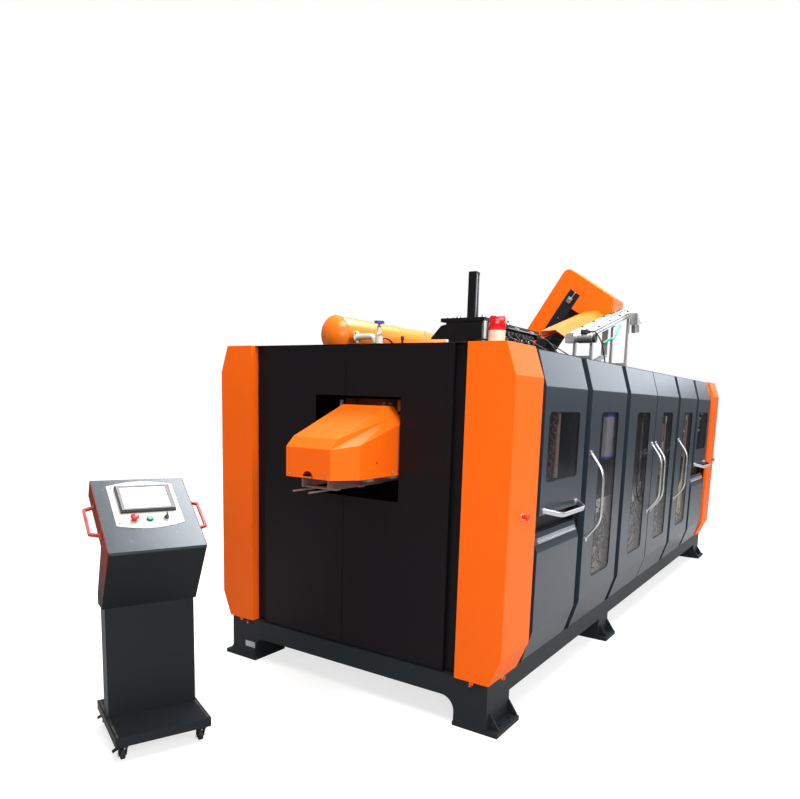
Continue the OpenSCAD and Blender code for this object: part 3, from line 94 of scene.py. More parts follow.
def makeCamera():
    data = bpy.data.cameras.new("camera")
    data.sensor_width = 36
    data.lens = view["lens"]
    data.shift_x, data.shift_y = view["shift"]
    data.clip_start, data.clip_end = 0.05, 2000
    cam = shown("camera", data)
    rough = np.array([view["right"], view["up"], [-c for c in view["forward"]]]).T
    square, _ = np.linalg.qr(rough)  # squares up the rounded directions
    cam.matrix_world = posed(square * np.sign(np.sum(square * rough, axis=0)), view["place"])
    bpy.context.scene.camera = cam


makeCamera()


# Short forms for shader nodes. An input is given as a value or as another node's output.
def feed(tree, node, inputs):
    for key, value in inputs.items():
        if isinstance(value, bpy.types.NodeSocket):
            tree.links.new(value, node.inputs[key])
        elif value is not None:
            node.inputs[key].default_value = value


def addNode(tree, kind, inputs=None, **settings):
    node = tree.nodes.new("ShaderNode" + kind)
    for key, value in settings.items():
        setattr(node, key, value)
    feed(tree, node, inputs or {})
    return node


def place(tree):
    return addNode(tree, "TexCoord").outputs["Object"]


def mathNode(tree, operation, a, b=None, clamp=False):
    return addNode(tree, "Math", {0: a, 1: b}, operation=operation, use_clamp=clamp).outputs[0]


def times(tree, a, b, clamp=False):
    return mathNode(tree, "MULTIPLY", a, b, clamp)


def plus(tree, a, b, clamp=False):
    return mathNode(tree, "ADD", a, b, clamp)


def mixColor(tree, factor, a, b, mode="MIX"):
    a, b = ((*c, 1) if isinstance(c, tuple) else c for c in (a, b))
    return addNode(tree, "Mix", {0: factor, 6: a, 7: b}, data_type="RGBA", blend_type=mode).outputs[2]


def noise(tree, scale, detail=3.0, rough=0.6, vector=None):
    return addNode(tree, "TexNoise", {"Vector": vector or place(tree), "Scale": scale, "Detail": detail,
                                      "Roughness": rough}).outputs["Fac"]


def ramp(tree, value, low, high, outLow=0.0, outHigh=1.0):
    return addNode(tree, "MapRange", {"Value": value, "From Min": low, "From Max": high, "To Min": outLow,
                                      "To Max": outHigh}).outputs["Result"]


def scaled(tree, vector, factor):
    return addNode(tree, "VectorMath", {0: vector, "Scale": factor}, operation="SCALE").outputs[0]


# A shared effect: build makes the colour, roughness and height out of the inputs it is given.
def makeGroup(name, inputs, build):
    group = bpy.data.node_groups.new(name, "ShaderNodeTree")
    for label, value in inputs.items():
        kind = "Float" if isinstance(value, float) else {3: "Vector", 4: "Color"}[len(value)]
        sock = group.interface.new_socket(name=label, in_out="INPUT", socket_type="NodeSocket" + kind)
        sock.default_value = value
    made = build(group, group.nodes.new("NodeGroupInput").outputs)
    for label, kind in (("Color", "Color"), ("Roughness", "Float"), ("Height", "Float")):
        group.interface.new_socket(name=label, in_out="OUTPUT", socket_type="NodeSocket" + kind)
    feed(group, group.nodes.new("NodeGroupOutput"), dict(zip(("Color", "Roughness", "Height"), made)))
    return group


# Powder coat: a fine orange-peel grain over a slow cloud of tone, a few bright specks, edges
# rubbed a little paler, and a film of dust that settles on faces that look up.
def coatGrain(tree, given):
    fine = noise(tree, given["Grain"], 2.0)
    cloud = ramp(tree, noise(tree, 1.7, 4.0), 0.3, 0.7, -1.0, 1.0)
    patch = noise(tree, 9.0)
    # specks are the tips of a cell pattern
    cells = addNode(tree, "TexVoronoi", {"Scale": 420, "Vector": place(tree)}, feature="F1")
    tips = times(tree, ramp(tree, cells.outputs["Distance"], 0.22, 0.05), given["Speck"])
    tone = scaled(tree, given["Color"], plus(tree, times(tree, cloud, given["Cloud"]), 1.0))
    tone = mixColor(tree, tips, tone, (0.035, 0.035, 0.036), "ADD")
    # edges: where the surface points outwards more than its neighbours
    shape = addNode(tree, "NewGeometry")
    edge = times(tree, ramp(tree, shape.outputs["Pointiness"], 0.52, 0.60), ramp(tree, patch, 0.35, 0.7))
    tone = mixColor(tree, times(tree, edge, given["Wear"], True), tone, (0.40, 0.38, 0.36))
    # dust lies on what faces up, in soft patches
    upward = addNode(tree, "SeparateXYZ", {0: shape.outputs["Normal"]}).outputs["Z"]
    dust = times(tree, ramp(tree, upward, 0.35, 1.0), ramp(tree, patch, 0.35, 0.75))
    dust = times(tree, dust, given["Dust"], True)
    rough = times(tree, mathNode(tree, "SUBTRACT", patch, 0.5), 0.03)
    rough = plus(tree, plus(tree, rough, given["Roughness"]), times(tree, dust, 0.4), True)
    return mixColor(tree, dust, tone, (0.42, 0.40, 0.37)), rough, fine


# Bare metal: streaks drawn along one axis, a slow stain and fine scratches.
def metalGrain(tree, given):
    stretched = addNode(tree, "VectorMath", {0: place(tree), 1: given["Stretch"]}, operation="MULTIPLY")
    streak = noise(tree, 1.0, 3.0, 0.7, stretched.outputs[0])
    uneven = mathNode(tree, "SUBTRACT", streak, 0.5)
    stain = mathNode(tree, "SUBTRACT", noise(tree, 11.0, 4.0, 0.65), 0.5)
    tone = plus(tree, times(tree, uneven, given["Streak"]), times(tree, stain, given["Stain"]))
    rough = plus(tree, times(tree, uneven, 0.3), given["Roughness"], True)
    return scaled(tree, given["Color"], plus(tree, tone, 1.0)), rough, streak


grey = (0.5, 0.5, 0.5, 1)
coatGroup = makeGroup("coatGrain", {"Color": grey, "Grain": 900.0, "Speck": 0.3, "Cloud": 0.06, "Dust": 0.0,
                                    "Wear": 0.0, "Roughness": 0.45}, coatGrain)
metalGroup = makeGroup("metalGrain", {"Color": grey, "Streak": 0.12, "Stain": 0.15, "Roughness": 0.35,
                                      "Stretch": (4.0, 400.0, 400.0)}, metalGrain)


def newMaterial(name, inputs=None):
    mat = bpy.data.materials.new(name)
    mat.use_nodes = True
    tree = mat.node_tree
    tree.nodes.clear()
    bsdf = addNode(tree, "BsdfPrincipled", inputs)
    addNode(tree, "OutputMaterial", {0: bsdf.outputs[0]})
    return mat, tree, bsdf


def fromGroup(name, group, values, bump, deep, inputs):
    mat, tree, bsdf = newMaterial(name, inputs)
    made = addNode(tree, "Group", node_tree=group)
    feed(tree, made, values)
    bumped = addNode(tree, "Bump", {"Strength": bump, "Distance": deep, "Height": made.outputs["Height"]})
    feed(tree, bsdf, {"Base Color": made.outputs["Color"], "Roughness": made.outputs["Roughness"],
                      "Normal": bumped.outputs[0]})
    return mat, tree, made


def coat(name, color, grain=900.0, speck=0.25, cloud=0.03, dust=0.0, wear=0.0, rough=0.45, bump=0.25,
         clear=0.0, metallic=0.0, gloss=0.5):
    values = {"Color": (*color, 1), "Grain": grain, "Speck": speck, "Cloud": cloud, "Dust": dust,
              "Wear": wear, "Roughness": rough}
    return fromGroup(name, coatGroup, values, bump, 0.0004, {
        "Metallic": metallic, "Specular IOR Level": gloss, "Coat Weight": clear, "Coat Roughness": 0.12})[0]


def metal(name, color, stain=0.15, rough=0.35, stretch=(4.0, 400.0, 400.0), metallic=1.0):
    values = {"Color": (*color, 1), "Stain": stain, "Roughness": rough, "Stretch": stretch}
    return fromGroup(name, metalGroup, values, 0.1, 0.0003, {"Metallic": metallic})[0]


def plastic(name, color, rough=0.35, dust=0.05):
    return coat(name, color, grain=1400.0, speck=0.05, cloud=0.05, dust=dust, wear=0.08, rough=rough, bump=0.08)


orangePaint = coat("orangePaint", (1.0, 0.142, 0.005), speck=0.1, gloss=0.14)
darkPaint = coat("darkPaint", (0.0066, 0.0052, 0.0068), gloss=0.16)
doorPaint = coat("doorPaint", (0.027, 0.038, 0.052), rough=0.3, gloss=0.42)
basePaint = coat("basePaint", (0.014, 0.018, 0.021), cloud=0.05, rough=0.5, gloss=0.25)
tankEnamel = coat("tankEnamel", (1.0, 0.21, 0.007), grain=300.0, speck=0.08, cloud=0.04, rough=0.3, clear=0.15)
deskPaint = coat("deskPaint", (0.062, 0.072, 0.084), speck=0.6, cloud=0.12, rough=0.27, metallic=0.45)
standPaint = coat("standPaint", (0.012, 0.015, 0.018), cloud=0.05, gloss=0.2)
gripPaint = coat("gripPaint", (0.46, 0.014, 0.006), grain=300.0, speck=0.1, cloud=0.05, wear=0.25, rough=0.35,
                 gloss=0.25)
facePaint = coat("facePaint", (0.56, 0.55, 0.52), grain=300.0, speck=0.05, cloud=0.02, rough=0.35)
bezelPaint = coat("bezelPaint", (0.20, 0.19, 0.22), grain=500.0, speck=0.1, gloss=0.2)
screenTone = coat("screenTone", (0.80, 0.80, 0.86), grain=300.0, speck=0.0, cloud=0.02, rough=0.25)
blackOxide = coat("blackOxide", (0.006, 0.0055, 0.006), speck=0.3, cloud=0.06, rough=0.4, gloss=0.3)
bayPaint = coat("bayPaint", (0.62, 0.54, 0.53), speck=0.1, cloud=0.2, dust=0.2, wear=0.25, rough=0.6)
ductPaint = coat("ductPaint", (0.36, 0.35, 0.42), speck=0.1, cloud=0.1, dust=0.1, wear=0.25)
redOxide = coat("redOxide", (0.30, 0.035, 0.012), speck=0.2, cloud=0.15, dust=0.1, wear=0.25, rough=0.5)
blackRubber = coat("blackRubber", (0.012, 0.012, 0.012), grain=700.0, speck=0.05, cloud=0.15, dust=0.3,
                   rough=0.75, bump=0.4)
silverBar = metal("silverBar", (0.60, 0.60, 0.62), stretch=(300.0, 300.0, 6.0), rough=0.3)
brushedPlate = metal("brushedPlate", (0.62, 0.63, 0.65), stretch=(400.0, 4.0, 400.0), rough=0.38)
machinedSteel = metal("machinedSteel", (0.48, 0.49, 0.50), stain=0.3, rough=0.36)
extruded = metal("extruded", (0.80, 0.81, 0.82), rough=0.34, stretch=(4.0, 500.0, 500.0), metallic=0.85)
brownSteel = metal("brownSteel", (0.30, 0.20, 0.175), stain=0.4, rough=0.5, metallic=0.5)
screwZinc = metal("screwZinc", (0.62, 0.61, 0.58), stain=0.3, rough=0.3, stretch=(60.0, 60.0, 60.0))
redPlastic = plastic("redPlastic", (0.72, 0.02, 0.015), 0.3)
greenPlastic = plastic("greenPlastic", (0.02, 0.42, 0.22), 0.3)
bluePlastic = plastic("bluePlastic", (0.015, 0.07, 0.36))
tealPlastic = plastic("tealPlastic", (0.03, 0.16, 0.17))
amberPlastic = plastic("amberPlastic", (0.75, 0.25, 0.02))
creamPlastic = plastic("creamPlastic", (0.74, 0.68, 0.54), 0.45)
creamBoard = plastic("creamBoard", (0.72, 0.55, 0.33), 0.55, 0.1)
blackPlastic = plastic("blackPlastic", (0.014, 0.014, 0.015), 0.5, 0.12)
blackHose = plastic("blackHose", (0.012, 0.012, 0.013), 0.38, 0.1)
clearHose = plastic("clearHose", (0.55, 0.60, 0.66), 0.25)
greenHose = plastic("greenHose", (0.02, 0.45, 0.25), 0.35)
bezelPlastic = plastic("bezelPlastic", (0.05, 0.055, 0.062), 0.4)


# Dark tinted sheet that lets a little of what is behind it show
def makePaneGlass():
    mat, tree, bsdf = newMaterial("tintedPane", {"Coat Weight": 0.4, "Coat Roughness": 0.03})
    smear = noise(tree, 5.0)
    shade = mixColor(tree, ramp(tree, smear, 0.3, 0.7), (0.012, 0.016, 0.022), (0.018, 0.023, 0.031))
    feed(tree, bsdf, {"Base Color": shade, "Roughness": ramp(tree, smear, 0.3, 0.8, 0.04, 0.12),
                      "Alpha": ramp(tree, smear, 0.3, 0.8, 0.20, 0.27)})
    return mat


def makeLensGlass():
    mat, tree, bsdf = newMaterial("redLens", {"Transmission Weight": 0.25, "Coat Weight": 0.6})
    cloudy = noise(tree, 60.0, 2.0, 0.5)
    shade = mixColor(tree, ramp(tree, cloudy, 0.35, 0.65), (0.90, 0.006, 0.016), (0.55, 0.004, 0.010))
    feed(tree, bsdf, {"Base Color": shade, "Roughness": ramp(tree, cloudy, 0.3, 0.8, 0.08, 0.2)})
    return mat


# A lit white screen with a faint pale cloud of tone
def makeScreen():
    mat, tree, bsdf = newMaterial("litScreen", {"Emission Strength": 0.15})
    cloudy = noise(tree, 7.0, 2.0, 0.5)
    shade = mixColor(tree, ramp(tree, cloudy, 0.35, 0.7), (0.95, 0.95, 0.97), (0.84, 0.84, 0.88))
    feed(tree, bsdf, {"Base Color": shade, "Emission Color": shade,
                      "Roughness": ramp(tree, cloudy, 0.3, 0.8, 0.12, 0.22)})
    return mat


# Side covers of the station's head: orange darkened to red-brown as painted shade for the side turned from the lamps,
# turning near black towards the waist, heights in metres
def makeShadedSidePaint(low, high):
    mat, tree, made = fromGroup("sideShadedPaint", coatGroup, {
        "Grain": 600.0, "Speck": 0.15, "Cloud": 0.08, "Roughness": 0.38}, 0.2, 0.0004, {"Specular IOR Level": 0.02})
    height = addNode(tree, "SeparateXYZ", {0: place(tree)}).outputs["Z"]
    # painted shade: the red-brown stands for the orange in shadow; below it turns near black towards the waist
    shadedFade = mixColor(tree, ramp(tree, height, low, high), (0.014, 0.008, 0.008), (0.27, 0.026, 0.004))
    feed(tree, made, {"Color": shadedFade})
    return mat


tintedPane = makePaneGlass()
redLens = makeLensGlass()
litScreen = makeScreen()
sideShadedPaint = makeShadedSidePaint(0.78, 1.05)
print("materials made,", len(bpy.data.materials))


# A shape is a pair: points (n, 3) and a list of face index arrays, one row a face.
def gridShape(grid, loopU=False, loopV=True, caps=True):
    # quads between neighbouring rows and columns of the grid; caps close the two end rings
    nu, nv = grid.shape[:2]
    i = np.arange(nu if loopU else nu - 1)[:, None]
    j = np.arange(nv if loopV else nv - 1)[None, :]
    up, over = (i + 1) % nu, (j + 1) % nv
    quads = np.stack(np.broadcast_arrays(i * nv + j, i * nv + over, up * nv + over, up * nv + j), -1)
    faces = [quads.reshape(-1, 4)]
    if caps and not loopU:
        ring = np.arange(nv)[None]
        faces += [ring[:, ::-1], ring + (nu - 1) * nv]
    return grid.reshape(-1, 3), faces


def joined(*shapes):
    counts = np.cumsum([0] + [len(p) for p, _ in shapes])
    return (np.vstack([p for p, _ in shapes]),
            [f + start for (_, faces), start in zip(shapes, counts) for f in faces])


def placed(shape, origin=(0, 0, 0), x=(1, 0, 0), y=(0, 1, 0), z=(0, 0, 1)):
    # the shape's own axes become x, y and z about origin
    return shape[0] @ np.array([x, y, z], float) + np.array(origin, float), shape[1]


upright = {}  # as the shape was drawn
toDoors = {"x": (1, 0, 0), "y": (0, 0, 1), "z": (0, -1, 0)}  # stands out of the door side
toBack = {"x": (-1, 0, 0), "y": (0, 0, 1), "z": (0, 1, 0)}  # stands out of the back
toDischarge = {"x": (0, -1, 0), "y": (0, 0, 1), "z": (-1, 0, 0)}  # stands out of the discharge end
alongY = {"x": (0, 0, 1), "y": (1, 0, 0), "z": (0, 1, 0)}


def at(way, shape, *spots):  # the shape at each spot, turned the given way
    return joined(*[placed(shape, spot, **way) for spot in spots])


def roundRect(w, h, r, n=4):
    # four quarter arcs about the corner centres, counter-clockwise
    turn = np.arange(4)[:, None] * math.pi / 2 + np.linspace(0, math.pi / 2, n + 1)
    cx = np.array([1, -1, -1, 1])[:, None] * (w / 2 - r)
    cy = np.array([1, 1, -1, -1])[:, None] * (h / 2 - r)
    return np.stack([cx + r * np.cos(turn), cy + r * np.sin(turn)], -1).reshape(-1, 2)


def circleLine(r, n=12):
    turn = np.linspace(0, 2 * math.pi, n, endpoint=False)
    return np.stack([r * np.cos(turn), r * np.sin(turn)], -1)


def slab(w, h, r, t, b=0.6, steps=2, n=4):
    # rounded plate from z = 0 to t; its top edge is a quarter round of b
    turn = np.linspace(0, math.pi / 2, steps + 1)
    draw = np.concatenate([[0.0], b * (1 - np.cos(turn))])[:, None, None]
    z = np.concatenate([[0.0], t - b + b * np.sin(turn)])
    outer = roundRect(w, h, r, n)
    way = (outer - roundRect(w - 2 * r, h - 2 * r, 0, n)) / r
    flat = outer[None] - draw * way[None]
    return gridShape(np.concatenate([flat, np.broadcast_to(z[:, None, None], (*flat.shape[:2], 1))], -1))


def box(x0, x1, y0, y1, z0, z1, b=1.5):
    # block between two corners with every upright edge and both rims eased
    w, h, t = x1 - x0, y1 - y0, z1 - z0
    r = min(3, w * 0.3, h * 0.3)
    half = slab(w, h, r, t / 2, min(b, r * 0.9, t * 0.4))
    mid = ((x0 + x1) / 2, (y0 + y1) / 2, (z0 + z1) / 2)
    return joined(placed(half, mid), placed(half, mid, (1, 0, 0), (0, -1, 0), (0, 0, -1)))


def plate(outline, thick):
    # flat plate between an outline and its copy moved by thick
    outline = np.asarray(outline, float)
    return gridShape(np.stack([outline, outline + np.asarray(thick, float)]))


def lathe(profile, n=32, wave=None):
    # radius and height pairs turned about z; wave changes the radius round the turn
    profile = np.asarray(profile, float)
    turn = np.linspace(0, 2 * math.pi, n, endpoint=False)
    r = profile[:, :1] * (1 if wave is None else wave(turn)[None])
    z = np.broadcast_to(profile[:, 1:], (len(profile), n))
    return gridShape(np.stack([r * np.cos(turn), r * np.sin(turn), z], -1))


def carried(path, profile, up=(0, 0, 1), loop=False, size=None):
    # a profile kept square to the path; its second axis leans towards up
    path = np.asarray(path, float)
    way = np.roll(path, -1, 0) - np.roll(path, 1, 0) if loop else np.gradient(path, axis=0)
    way = way / np.linalg.norm(way, axis=1, keepdims=True)
    high = np.broadcast_to(np.asarray(up, float), way.shape)
    high = high - np.sum(high * way, axis=1, keepdims=True) * way
    high = high / np.linalg.norm(high, axis=1, keepdims=True)
    side = np.cross(high, way)
    spread = profile[None] * (np.ones(len(path)) if size is None else size)[:, None, None]
    return gridShape(path[:, None] + spread[..., :1] * side[:, None] + spread[..., 1:] * high[:, None], loopU=loop)


def smoothPath(points, count):
    # a curve through every point, each stretch bent by its neighbours
    p = np.asarray(points, float)
    p = np.vstack([2 * p[0] - p[1], p, 2 * p[-1] - p[-2]])
    t = np.linspace(0, len(p) - 3, count)
    k = np.minimum(t.astype(int), len(p) - 4)
    f = (t - k)[:, None]
    a, b, c, d = p[k], p[k + 1], p[k + 2], p[k + 3]
    return 0.5 * (2 * b + (c - a) * f + (2 * a - 5 * b + 4 * c - d) * f ** 2 + (3 * b - a - 3 * c + d) * f ** 3)


def filleted(points, reach, steps=8):
    # straight runs whose corners are eased over reach on both sides
    p = np.asarray(points, float)
    before, corner, after = p[:-2], p[1:-1], p[2:]
    a, b = before - corner, after - corner
    a = corner + reach * a / np.linalg.norm(a, axis=1, keepdims=True)
    b = corner + reach * b / np.linalg.norm(b, axis=1, keepdims=True)
    t = np.linspace(0, 1, steps + 1)[None, :, None]
    bends = (1 - t) ** 2 * a[:, None] + 2 * t * (1 - t) * corner[:, None] + t ** 2 * b[:, None]
    return np.vstack([p[:1], bends.reshape(-1, 3), p[-1:]])


def hose(points, r, count=40, n=10):
    return carried(smoothPath(points, count), circleLine(r, n), (0.13, 0.31, 0.94))


def pole(r, length, b=0.6):
    return lathe([(r - b, 0), (r, b), (r, length - b), (r - b, length)], 16)


def capScrew(r, h):  # round head with a sunk socket
    return lathe([(r, 0), (r, h * 0.8), (r * 0.88, h), (r * 0.5, h), (r * 0.46, h * 0.45), (0, h * 0.4)], 12)


def hexBolt(r, h):  # washer, six-sided head
    return joined(lathe([(r * 1.25, 0), (r * 1.25, h * 0.2), (0, h * 0.2)], 12),
                  placed(lathe([(r, 0), (r, h * 0.85), (r * 0.86, h), (0, h)], 6), (0, 0, h * 0.15)))


def setMaterials(mesh, materials):
    mesh.materials.clear()
    for material in materials if isinstance(materials, (list, tuple)) else [materials]:
        mesh.materials.append(material)


def smoothed(mesh, sharpDeg):
    mesh.polygons.foreach_set("use_smooth", np.ones(len(mesh.polygons), bool))
    mesh.set_sharp_from_angle(angle=math.radians(sharpDeg))


def makePiece(name, material, *shapes, on=None, instead=None):
    # on names the CAD node whose body carries the piece, instead the node that it replaces
    points, faces = joined(*shapes)
    points = (points - (halfLen, 0, 0)) / 1000
    mesh = bpy.data.meshes.new(name)
    mesh.from_pydata(points.tolist(), [], [row for f in faces for row in f.tolist()])
    bm = bmesh.new()
    bm.from_mesh(mesh)
    bmesh.ops.remove_doubles(bm, verts=bm.verts, dist=1e-6)
    bmesh.ops.recalc_face_normals(bm, faces=bm.faces)
    bm.to_mesh(mesh)
    bm.free()
    setMaterials(mesh, material)
    smoothed(mesh, 35)
    obj = shown(name, mesh)
    carrier = on or instead
    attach(obj, frame["nodes"][carrier]["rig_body"] if carrier else "machine")
    if instead:
        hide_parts(instead)


def edgeAngles(mesh):
    # the turn between the two faces of each edge, zero where there aren't two
    edgeOf = np.empty(len(mesh.loops), int)
    mesh.loops.foreach_get("edge_index", edgeOf)
    total = np.empty(len(mesh.polygons), int)
    mesh.polygons.foreach_get("loop_total", total)
    normal = np.empty(len(mesh.polygons) * 3)
    mesh.polygons.foreach_get("normal", normal)
    normal = normal.reshape(-1, 3)[np.repeat(np.arange(len(total)), total)]
    order = np.argsort(edgeOf, kind="stable")
    edges, first, count = np.unique(edgeOf[order], return_index=True, return_counts=True)
    pair = count == 2
    a, b = normal[order[first[pair]]], normal[order[first[pair] + 1]]
    angles = np.zeros(len(mesh.edges))
    angles[edges[pair]] = np.degrees(np.arccos(np.clip(np.sum(a * b, axis=1), -1, 1)))
    return angles


def softened(node, material, bend=3.5, corner=0.8, least=11, where=None):
    # Copies a CAD node's skin, merges its loose triangles, melts flat ones together and rounds
    # its edges: folds of the sheet by bend, sharper ones by corner. where paints faces by place.
    mesh = frame["nodes"][node].data.copy()
    bm = bmesh.new()
    bm.from_mesh(mesh)
    bmesh.ops.remove_doubles(bm, verts=bm.verts, dist=2e-5)
    bmesh.ops.dissolve_limit(bm, angle_limit=math.radians(0.6), verts=bm.verts, edges=bm.edges)
    bm.to_mesh(mesh)
    bm.free()
    obj = shown(node + "_skin", mesh)
    setMaterials(mesh, material)
    if where is not None:
        centre = np.empty(len(mesh.polygons) * 3)
        mesh.polygons.foreach_get("center", centre)
        centre = centre.reshape(-1, 3) * 1000 + (halfLen, 0, 0)
        mesh.polygons.foreach_set("material_index", where(*centre.T).astype(int))
    angles = edgeAngles(mesh)
    weight = np.where(angles < least, 0.0, np.where(angles < 62, 1.0, corner / bend))
    mesh.attributes.new("bevel_weight_edge", "FLOAT", "EDGE").data.foreach_set("value", weight)
    smoothed(mesh, 24)
    bev = obj.modifiers.new("roundedEdges", "BEVEL")
    bev.limit_method = "WEIGHT"
    bev.width = bend / 1000
    bev.segments = 2
    bev.use_clamp_overlap = True
    obj.modifiers.new("flatFaces", "WEIGHTED_NORMAL").keep_sharp = True
    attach(obj, frame["nodes"][node]["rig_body"])
    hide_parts(node)


doorSide = {
    "face": -1050, "bar": (14, 30, 6.5), "barBend": 55, "windowR": 38,
    "flaps": {1: 747.5, 6: 4972.5}, "flapWindow": (500, 1350, 1756),
    "tall": {2: 1612.5, 3: 2495, 4: 3305, 5: 4187.5}, "tallWindow": (390, 612, 1756),
    "grips": {2: 1257, 3: 2818, 4: 2942, 5: 3832}, "gripZ": 1196,
    "flapGrip": {"half": 190, "end": 277, "reach": 92, "z": 1192, "down": 16, "bend": 45, "pads": 263},
    "strip": {"mids": {"door_1_panel": 767.5, "door_6_panel": 4992.5}, "half": 305.5,
              "y": -1029.12, "z": 1010.9, "lean": 18.93},
    "stops": {"stop_near": 165, "stop_far": 5595},
}
strip = doorSide["strip"]
lean = math.radians(strip["lean"])
stripOut = np.array((0, -math.cos(lean), math.sin(lean)))
stripUp = np.array((0, math.sin(lean), math.cos(lean)))


def stripPaint(x, y, z):  # 1 the silver strip on a fold-down panel
    out = (y - strip["y"]) * stripOut[1] + (z - strip["z"]) * stripOut[2]
    up = (y - strip["y"]) * stripUp[1] + (z - strip["z"]) * stripUp[2]
    near = np.minimum(*[abs(x - mid) for mid in strip["mids"].values()]) < strip["half"]
    return near & (out > 1.2) & (abs(up) < 17.5) & (out < 14)


def towerPaint(x, y, z):  # 1 the bare cylinder and the linear guide
    cylinder = (abs(x - 1134) < 18.5) & (y < -260.5) & (z < 2343.5) & (z > 2224.5)
    guide = (y < -286.5) & (z > 2327.5) & (z < 2336.5) & (x > 1485)
    return cylinder | guide


def tankPaint(x, y, z):  # 1 the pipe and the valve at its end
    return (x < 925) & (y < 619.5) & (y > 350)


skins = [  # node, material, radius of a fold, of a corner, least turn in degrees, where it is painted
    ("corner_covers", orangePaint), ("end_panels", darkPaint), ("shell_panels", darkPaint),
    *[("door_" + name, [doorPaint, silverBar], 3.5, 0.8, 11, stripPaint)
      for name in ("1_flap", "1_panel", "2", "3", "4", "5", "6_flap", "6_panel")],
    ("discharge_hood", orangePaint, 3.5, 0.8, 8), ("cabinet_frame", darkPaint, 3, 2),
    ("base_frame", basePaint, 5, 3, 20), ("clamp_frame", basePaint, 3, 3, 20),
    ("mould_left", machinedSteel, 1, 1, 30), ("mould_right", machinedSteel, 1, 1, 30),
    ("stretch_bridge", machinedSteel, 2, 2, 30), ("station_tower", [blackOxide, machinedSteel], 2, 2, 30, towerPaint),
    ("air_tank", [tankEnamel, creamPlastic], 2, 1, 30, tankPaint), ("tank_handwheel", bluePlastic, 2, 2, 30),
    ("lamp_base", creamPlastic, 1, 1, 30), ("elevator_housing", orangePaint, 2, 0.8, 20),
    ("elevator_belt", blackRubber, 1, 1, 30), ("unscrambler_frame", extruded, 1.5, 1.5, 30),
    ("console_stand", standPaint, 3, 1.5, 8), ("transport_rail", brownSteel, 1, 1, 30),
    ("oven_bank", brushedPlate, 1, 1, 30), ("drive_wheel", machinedSteel, 1, 1, 30),
]
for skin in skins:
    softened(*skin)
print("sheet metal and frames softened")

finishes = {
    "stop_near": redPlastic, "stop_far": redPlastic, "lamp_lens": redLens, "roller_left": machinedSteel,
    "roller_right": machinedSteel, "console_stop": redPlastic, "start_button": greenPlastic,
    "key_switch": blackPlastic,
}
for name, material, count in (("window", tintedPane, 6), ("handle", silverBar, 6), ("caster", blackOxide, 4),
                              ("wheel", blackRubber, 4)):
    finishes.update({"%s_%d" % (name, n + 1): material for n in range(count)})
for node, material in finishes.items():
    setMaterials(frame["nodes"][node].data, material)


# Door side: gaskets, swept handles on round pads, silver strip grips, stop buttons
def gasket(w, z0, z1, r):
    line = roundRect(w - 5, z1 - z0 - 5, r - 2.5, 8)
    lip = np.array([(-2.6, -2), (1.6, -2), (2.6, 2.2), (1.2, 4.0), (-2.6, 3.4)])
    return carried(np.column_stack([line, np.zeros(len(line))]), lip, loop=True)


pad = lathe([(19, -1), (19, 4.8), (17.8, 6), (0, 6)], 28)
d = doorSide
for n, mid in {**d["flaps"], **d["tall"]}.items():
    w, z0, z1 = d["flapWindow"] if n in d["flaps"] else d["tallWindow"]
    door = "door_%d_flap" % n if n in d["flaps"] else "door_%d" % n
    lip = gasket(w, z0, z1, d["windowR"])
    makePiece("gasket_%d" % n, blackRubber, placed(lip, (mid, -1047.2, (z0 + z1) / 2), **toDoors), on=door)

for n, x in d["grips"].items():
    z = d["gripZ"]
    line = [(x, -1038, z - 303), (x, -1142, z - 163), (x, -1142, z + 163), (x, -1038, z + 303)]
    bar = carried(filleted(line, d["barBend"]), roundRect(*d["bar"]), (1, 0, 0))
    makePiece("grip_%d" % n, silverBar, bar, at(toDoors, pad, *[(x, d["face"], z + s * 289) for s in (-1, 1)]),
              instead="handle_%d" % n)

g = d["flapGrip"]
turn = math.radians(g["down"])
outward = np.array((0, -math.cos(turn), -math.sin(turn)))
upward = np.array((0, -math.sin(turn), math.cos(turn)))
for n, mid in d["flaps"].items():
    root = np.array((mid, d["face"], g["z"]))
    line = [root + (s * a, 0, 0) + b * outward for s, a, b in
            ((-1, g["end"], -12), (-1, g["half"], g["reach"]), (1, g["half"], g["reach"]), (1, g["end"], -12))]
    bar = carried(filleted(line, g["bend"]), roundRect(*d["bar"]), upward)
    makePiece("grip_%d" % n, silverBar, bar, at(toDoors, pad, *[root + (s * g["pads"], 0, 0) for s in (-1, 1)]),
              instead="handle_%d" % n)

section = np.array([(-6, -16.6), (5, -16.6), (6.6, -15), (7.6, -12), (7.6, -6), (6.6, -4.6), (6.25, -3), (6.25, 1),
                    (6.8, 3), (8.4, 5), (9, 10), (8.4, 14), (6.6, 16.6), (-6, 16.6)])
ring = section[:, :1] * stripOut + section[:, 1:] * stripUp + (0, strip["y"], strip["z"])
for name, mid in strip["mids"].items():
    bar = plate(ring + (mid - strip["half"], 0, 0), (2 * strip["half"], 0, 0))
    makePiece("strip_" + name, silverBar, bar, on=name)

cap = lathe([(10.5, -4), (10.5, 26), (15.5, 28), (19.5, 30.5), (20.5, 34), (20, 38.5), (16.5, 42.5), (10, 44.8),
             (0, 45.5)], 40)
ring = lathe([(12.5, 0), (18.5, 0), (18.5, 2.2), (17.2, 3.6), (13.5, 3.6), (12.5, 2.8), (12.5, 0)], 40)
for node, x in d["stops"].items():
    makePiece(node + "_cap", redPlastic, at(toDoors, cap, (x, -1062, 1200)), instead=node)
    makePiece(node + "_ring", screwZinc, at(toDoors, ring, (x, -1062.2, 1200)))
print("door side fitted")


